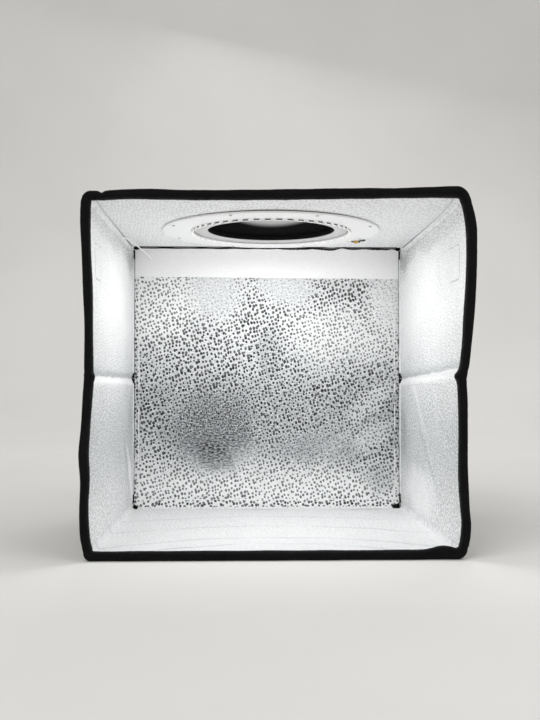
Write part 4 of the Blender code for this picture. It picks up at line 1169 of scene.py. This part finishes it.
def make_binding(name, outer, inner, girth, seed):
    """A padded binding between an outer and an inner line of (x, z) points round the open front."""
    outer, inner = np.array(outer), np.array(inner)
    middle, reach = (outer + inner) / 2, (outer - inner) / 2
    at, angles = run_along(middle)[:, None], round_angles(BINDING_STEPS)
    wide, deep = (np.sign(wave) * np.abs(wave) ** BINDING_POWER for wave in (np.cos(angles), np.sin(angles)))
    uneven = 0.05 * swell(at, 0.0, seed, 0.030) + 0.012 * swell(at, angles / 400, seed + 1, 0.004)
    sewn = bell(angles, 0.62 * math.pi, 0.16) + bell(angles, 0.38 * math.pi, 0.16)
    pulled = 0.06 * sewn * (0.6 + 0.4 * np.cos(at * FULL_TURN / STITCH_PITCH))
    section = girth(at, at[-1]) * (1 + uneven) * (1 - pulled)
    x, z = (middle[:, k, None] + wide * section * reach[:, k, None] for k in (0, 1))
    y = (FRONT_Y + BINDING_REAR_Y) / 2 + deep * section * (BINDING_REAR_Y - FRONT_Y) / 2
    return make_tube(name, warp(points_at(x, y, z)), "binding")


def blunt(at, total):
    """The girth of a binding whose two ends are cut square and just rounded."""
    return np.maximum(0.05, quarter_round(inside(at, 0, total), 0.0009))


def sleeve(at, total):
    """The girth of a short sleeve that swells out of the bindings on both sides of a fold."""
    return 0.86 + 0.19 * np.sin(math.pi * at / total).clip(0) ** 1.5


def lap(at, total):
    """The girth of the lap that widens upwards over the open end of the fold."""
    return 0.9 + 0.13 * at / total


def make_bindings():
    outer, inner = end_lines(0.0, LOWER_Z - HAIR, (0.0040, 0.0052))
    inner = push(inner, outer, [(0.1050, 0.0085, -0.50)], 0)
    dress(make_binding("bottom_edging", outer, inner, blunt, 3), "bottom", ["bottom_binding"])
    outer, inner = end_lines(HEIGHT, UPPER_Z + HAIR, (0.0046, 0.0052))
    outer = push(outer, inner, [(-0.1085, 0.0013, 0.24), (-0.1140, 0.0040, -0.06)], 0)
    dress(make_binding("top_edging", outer, inner, blunt, 5), "top", ["top_binding"])
    for side, sign in SIDES.items():
        for half in HALVES:
            body, lines = f"{side}_{half}", side_lines(side, *half_range(half, HAIR, HAIR))
            item = make_binding(f"{body}_edging", *lines, blunt, 12 + sign)
            dress(item, body, [f"{body}_binding"], squeeze=WALL_SQUEEZE[side])
    folds = (
        ("left_crease", CREASE_Z, "left_upper", "left_lower", -1),
        ("right_crease", CREASE_Z, "right_upper", "right_lower", -1),
        ("left_floor", LOWER_Z, "bottom", "left_lower", 1),
        ("left_roof", UPPER_Z, "left_upper", "top", 1),
        ("right_roof", UPPER_Z, "right_upper", "top", 1),
    )
    for name, z, first, second, turn in folds:
        lines = side_lines(name.split("_")[0], z - SLEEVE_REACH, z + SLEEVE_REACH, SLEEVE_STEP)
        bend = (first, second, (0, 0, z - turn * SLEEVE_BEND), (0, 0, z + turn * SLEEVE_BEND))
        dress(make_binding(f"{name}_sleeve", *lines, sleeve, 40), bend=bend)
    lines = side_lines("right", LOWER_Z - SLEEVE_REACH, LOWER_Z + 0.0018, SLEEVE_STEP)
    dress(make_binding("right_floor_lap", *lines, lap, 41), "bottom")


def make_blocks(name, look, share, top, depth):
    """A ring of small tapered blocks that hang from a height, as one piece."""
    points, faces = [], []
    for k in range(BEAD_COUNT):
        turn = (k + 0.5) * FULL_TURN / BEAD_COUNT
        out, along = np.array(((math.cos(turn), math.sin(turn), 0), (-math.sin(turn), math.cos(turn), 0)))
        for z, size in ((top, share), (top - depth, share * BEAD_TAPER)):
            for way_along, way_out in ((-1, -1), (1, -1), (1, 1), (-1, 1)):
                corner = size / 2 * (way_along * BEAD_LENGTH * along + way_out * BEAD_WIDTH * out)
                points.append(BEAD_CIRCLE * out + (0, 0, z) + corner)
        first = 8 * k
        faces += [tuple(range(first, first + 4)), tuple(range(first + 4, first + 8))]
        for c in range(4):
            here, after = first + c, first + (c + 1) % 4
            faces.append((here, after, after + 4, here + 4))
    return make_piece(name, points, faces, looks[look], 20)


def make_lamp():
    """The bead strip, its lit beads, the drop of solder and the hole's edging."""
    top, under = LAMP_Z - HAIR, LAMP_Z - 0.0003
    outline = [(-0.0009, top), (-0.0009, under), (0.0011, under), (0.0012, top)]
    ring = make_turned("bead_track", [(BEAD_CIRCLE + out, z) for out, z in outline], "lamp", 192)
    dress(ring, "top", ["bead_strip"])
    beads = make_blocks("bead_bodies", "bead", 1.0, under, BEAD_DEPTH)
    level = Vector((1, 1, 0))
    # The beads' outward faces get the painted shade
    second_look(beads, "bead_shaded_side", lambda face: face.normal.dot((face.center * level).normalized()) > 0.7)
    dress(beads, "top")
    windows = make_blocks("bead_windows", "lens", WINDOW_SHARE, under - BEAD_DEPTH, WINDOW_DEPTH)
    dress(windows, "top")
    low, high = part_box("lamp_lead")
    middle = (low.x + 0.52 * (high.x - low.x), (low.y + high.y) / 2, LAMP_Z - 0.0006)
    ring = ball(14, 0.08)
    lump = 1 + 0.15 * swell(ring[..., 0], ring[..., 1] + ring[..., 2], 95, 1.5)
    blob = make_tube("solder_blob", middle + ring * lump[..., None] * (0.0020, 0.0030, 0.0012), "solder")
    dress(blob, "top")
    top, under = FLAP_LOW.z - 0.0003, CEILING_Z - HAIR
    neck, rim = HOLE_RADIUS - 0.0003, 0.0578
    outline = [
        (HOLE_RADIUS - 0.0013, top), (HOLE_RADIUS - 0.0014, under), (HOLE_RADIUS - 0.0012, under - 0.0007),
        (HOLE_RADIUS - 0.0006, under - 0.0010), (rim - 0.0006, under - 0.0007), (rim, under - 0.0004),
        (rim - 0.0002, under - HAIR), (HOLE_RADIUS + 0.0004, under - HAIR), (neck, under + 0.0002), (neck, top),
    ]
    dress(make_turned("hole_edging", outline, "eyelet", HOLE_STEPS), "top", ["hole_eyelet"])


def make_flap():
    """The flap over the hole: square fabric with rounded corners."""
    inner_x, inner_y = FLAP_HIGH.x - FLAP_CORNER, FLAP_HIGH.y - FLAP_CORNER
    aa, bb = np.meshgrid(spread(FLAP_LOW.x, FLAP_HIGH.x, 0.003), spread(FLAP_LOW.y, FLAP_HIGH.y, 0.003))
    edge = np.minimum(inside(aa, FLAP_LOW.x, FLAP_HIGH.x), inside(bb, FLAP_LOW.y, FLAP_HIGH.y))
    wave = 0.00025 * swell(aa, bb, 51, 0.05) * ease(edge / 0.012)
    over_a, over_b = np.abs(aa) - inner_x, np.abs(bb) - inner_y
    far = np.maximum(np.maximum(over_a, over_b), 1e-9)
    pull = np.where((over_a > 0) & (over_b > 0), np.hypot(over_a, over_b) / far, 1)
    aa = np.sign(aa) * np.where(over_a > 0, inner_x + over_a / pull, np.abs(aa))
    bb = np.sign(bb) * np.where(over_b > 0, inner_y + over_b / pull, np.abs(bb))
    face, rear = place("flap", aa, bb, FLAP_LOW.z - FLAP_HIGH.z - wave), place("flap", aa, bb, -wave)
    flap = make_sheet("flap_cloth", face, rear, "flap")
    dress(flap, "flap", ["hole_flap"])


def make_flap_border():
    """The binding round the flap, and the disc that lines the flap over the hole."""
    inner_x, inner_y = FLAP_HIGH.x - FLAP_CORNER, FLAP_HIGH.y - FLAP_CORNER
    turns = []
    for k, (way_x, way_y) in enumerate(((1, 1), (-1, 1), (-1, -1), (1, -1))):
        middle = (way_x * inner_x, way_y * inner_y)
        turns += arc(middle, FLAP_CORNER - 0.0002, k * QUARTER, (k + 1) * QUARTER, 8)
    path = []
    for here, after in zip(turns, turns[1:] + turns[:1]):
        path += run_between(here, after, max(1, round(math.dist(here, after) / 0.002)))[:-1]
    path = np.array(path)
    ahead = unit(np.roll(path, -1, axis=0) - np.roll(path, 1, axis=0))
    inward = np.stack([-ahead[:, 1], ahead[:, 0]], axis=1)
    angles, tape, girth = round_angles(14), 0.0042, 0.00105
    full = 1 + 0.06 * swell(run_along(path), 0.0, 52, 0.012)
    up = np.sin(angles) * girth / 2 * full[:, None] * (0.75 + 0.25 * np.abs(np.cos(angles)))
    side = (0.5 + 0.5 * np.cos(angles)) * tape - GAP
    x, y = (path[:, k, None] + side * inward[:, k, None] for k in (0, 1))
    rings = points_at(x, y, (FLAP_LOW.z + FLAP_HIGH.z) / 2 + up)
    rings = np.concatenate([rings, rings[:1]])
    border = make_piece("flap_border", rings, grid_faces(*rings.shape[:2], wrap=True), looks["binding"])
    dress(border, "flap")
    low, high, reach = FLAP_LOW.z - 6 * HAIR, FLAP_LOW.z - 4 * HAIR, HOLE_RADIUS - 0.0016
    outline = [(HAIR / 10, low), (reach - HAIR, low), (reach, high), (HAIR / 10, high)]
    disc = make_turned("flap_lining", outline, "lining")
    dress(disc, "flap")


def make_patch(name, node, side, look, slot, body, proud=0.0, border=0.0020, squeeze=None):
    """A sewn patch of tape or webbing, in place of a plain block: rounded, with a stitched border."""
    start, *directions = PLANES[side]
    ends = [np.array(corner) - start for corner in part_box(node)]
    a_range, b_range, (outer, base) = (sorted(float(end @ way) for end in ends) for way in directions)
    thick = base - outer
    aa, bb = np.meshgrid(*(spread(*limits, 0.0012, 0.0014) for limits in (a_range, b_range)))
    in_a, in_b = inside(aa, *a_range), inside(bb, *b_range)
    edge = np.minimum(in_a, in_b)
    over = quarter_round(in_a, PATCH_ROUND) * quarter_round(in_b, PATCH_ROUND)
    seam = 0.3 * bell(edge, border, 0.0004)
    pile = 0.10 * swell(aa, bb, 61, 0.004) * ease(edge / 0.003)
    face = place(side, aa, bb, base - proud + thick * (seam - pile - over))
    item = make_shell(name, face, place(side, aa, bb, base - proud), look)
    return dress(item, body, [node], squeeze=squeeze)


def make_patches():
    """The sewn patches: loops outside on the upper walls, hooks under the flap, and its seam and tab."""
    for side in SIDES:
        squeeze = pressed(X_AXIS, SIDES[side] * (OUTER_X - SLAB_PUFF), 0.1)
        names = (f"{side}_loop_tape", f"{side}_loop_patch", side, "loop", "loop_patch", f"{side}_upper")
        make_patch(*names, proud=SLAB_PUFF, squeeze=squeeze)
    for end in ("front", "rear"):
        make_patch(f"hook_tape_{end}", f"hook_patch_{end}", "top", "hook", "hook_patch", "top")
    make_patch("flap_hinge", "flap_seam", "top", "binding", "binding_fabric", "top", border=0.0016)
    make_patch("flap_pull", "flap_tab", "flap", "binding", "binding_fabric", "flap", border=0.0016)


def make_backdrop_strip():
    """The white tape along the top of the back, slightly askew, with a crumpled right end."""
    low, high = STRIP_LOW, STRIP_HIGH
    x, share = spread(low.x, high.x, 0.002), np.linspace(0, 1, 17)[:, None]
    foot = low.z + 0.0039 - 0.0012 * (x - low.x) / (high.x - low.x) + 0.0002 * swell(x, 0.0, 71, 0.05)
    curl = ease((x - 0.092) / 0.022)
    head = high.z - 0.0004 - 0.0008 * ease(np.abs(swell(x, 0.0, 72, 0.035)))
    head = head - 0.0009 * curl * ease(swell(x, 0.0, 73, 0.012) + 0.6)
    z = foot + (head - foot) * share
    ripple = 0.0010 * curl * share**6 * (0.6 + 0.4 * swell(x, 0.0, 75, 0.010))
    y = low.y - 0.00012 * swell(x, z, 74, 0.03) - ripple
    face, rear = (warp(points_at(x, y + deep, z)) for deep in (0.0, (high.y - low.y) * 0.8))
    item = make_sheet("backdrop_tape", face, rear, "strip")
    dress(item, "back", ["backdrop_strip"], squeeze=BACK_SQUEEZE)


def make_thread():
    """A loose white thread that hangs from the ceiling's left seam in front of the tape."""
    shares = np.linspace(0, 1, len(THREAD_ROUTE))
    fine = np.linspace(0, 1, 25)
    path = np.stack([follow(list(zip(shares, values)), fine) for values in zip(*THREAD_ROUTE)], axis=1)
    ring, _ = rings_round(np.gradient(path, axis=0), Z_AXIS)
    item = make_tube("loose_thread", path[:, None] + THREAD_RADIUS * ring, "white_thread")
    dress(item, "top")


def dress_nodes():
    """Better materials for the rigid nodes, which keep their own shapes."""
    finishes = {"lamp_board": "lamp", "lamp_contact_front": "contact", "lamp_contact_rear": "contact"}
    finishes.update({"lamp_lead": "lead", "lead_gland": "gland"})
    finishes.update({f"lamp_rivet_{k}": "rivet" for k in range(1, 9)})
    for name, look in finishes.items():
        materials = frame["nodes"][name].data.materials
        materials.clear()
        materials.append(looks[look])


def add_light(name, kind, spot, energy, **settings):
    data = bpy.data.lights.new(name, kind)
    data.energy = energy
    for setting, value in settings.items():
        setattr(data, setting, value)
    return add_object(name, data, spot)


def make_backdrop():
    """The studio's floor, which curves up to a wall behind the tent."""
    n = Nodes("studio floor")
    tone = n.mix(n.remap(n.noise(3.0, 3.0), 0.3, 0.7), (0.72, 0.71, 0.69), (0.75, 0.74, 0.72))
    reach, start, radius, top, below = 40.0, 1.2, 0.8, 5.0, 0.0002
    curve = arc((start, radius), radius, -QUARTER, 0, 11)[1:]
    rows = [(-reach, 0.0), (start, 0.0), *curve, (start + radius, top)]
    points = [(x, y, z - below) for y, z in rows for x in (-reach, reach)]
    make_piece("studio_backdrop", points, grid_faces(len(rows), 2), n.finish(tone, 0.8))


def make_studio():
    """The camera of the photo, the studio round the tent, and the light that the lamp gives inside it."""
    scene = bpy.context.scene
    camera = add_object("camera", bpy.data.cameras.new("camera"), CAMERA_SPOT)
    camera.rotation_euler = [math.radians(angle) for angle in CAMERA_TURN]
    camera.data.lens = CAMERA_LENS
    camera.data.clip_start = 0.01
    scene.camera = camera
    make_backdrop()
    scene.world = bpy.data.worlds.new("studio")
    scene.world.use_nodes = True
    background = scene.world.node_tree.nodes["Background"]
    background.inputs["Color"].default_value = (1.0, 0.99, 0.98, 1.0)
    background.inputs["Strength"].default_value = 0.50
    for name, spot, size, energy in STUDIO_LIGHTS:
        light = add_light(name, "AREA", spot, energy, size=size)
        light.rotation_mode = "QUATERNION"
        light.rotation_quaternion = (Vector((0, 0, 0.1)) - Vector(spot)).to_track_quat("-Z", "Y")
    glow = add_light("ring_light", "AREA", (0.0, 0.0, LAMP_Z - 0.004), 0.17, shape="DISK", size=0.13)
    glow.visible_camera = False
    bounce = add_light("bounce", "POINT", (0.0, 0.0, 0.161), 0.13, shadow_soft_size=0.03)
    bounce.visible_camera = False
    bounce.visible_glossy = False
    scene.view_settings.view_transform = "Standard"


make_panels()
make_bindings()
make_lamp()
make_flap()
make_flap_border()
make_patches()
make_backdrop_strip()
make_thread()
dress_nodes()
make_studio()
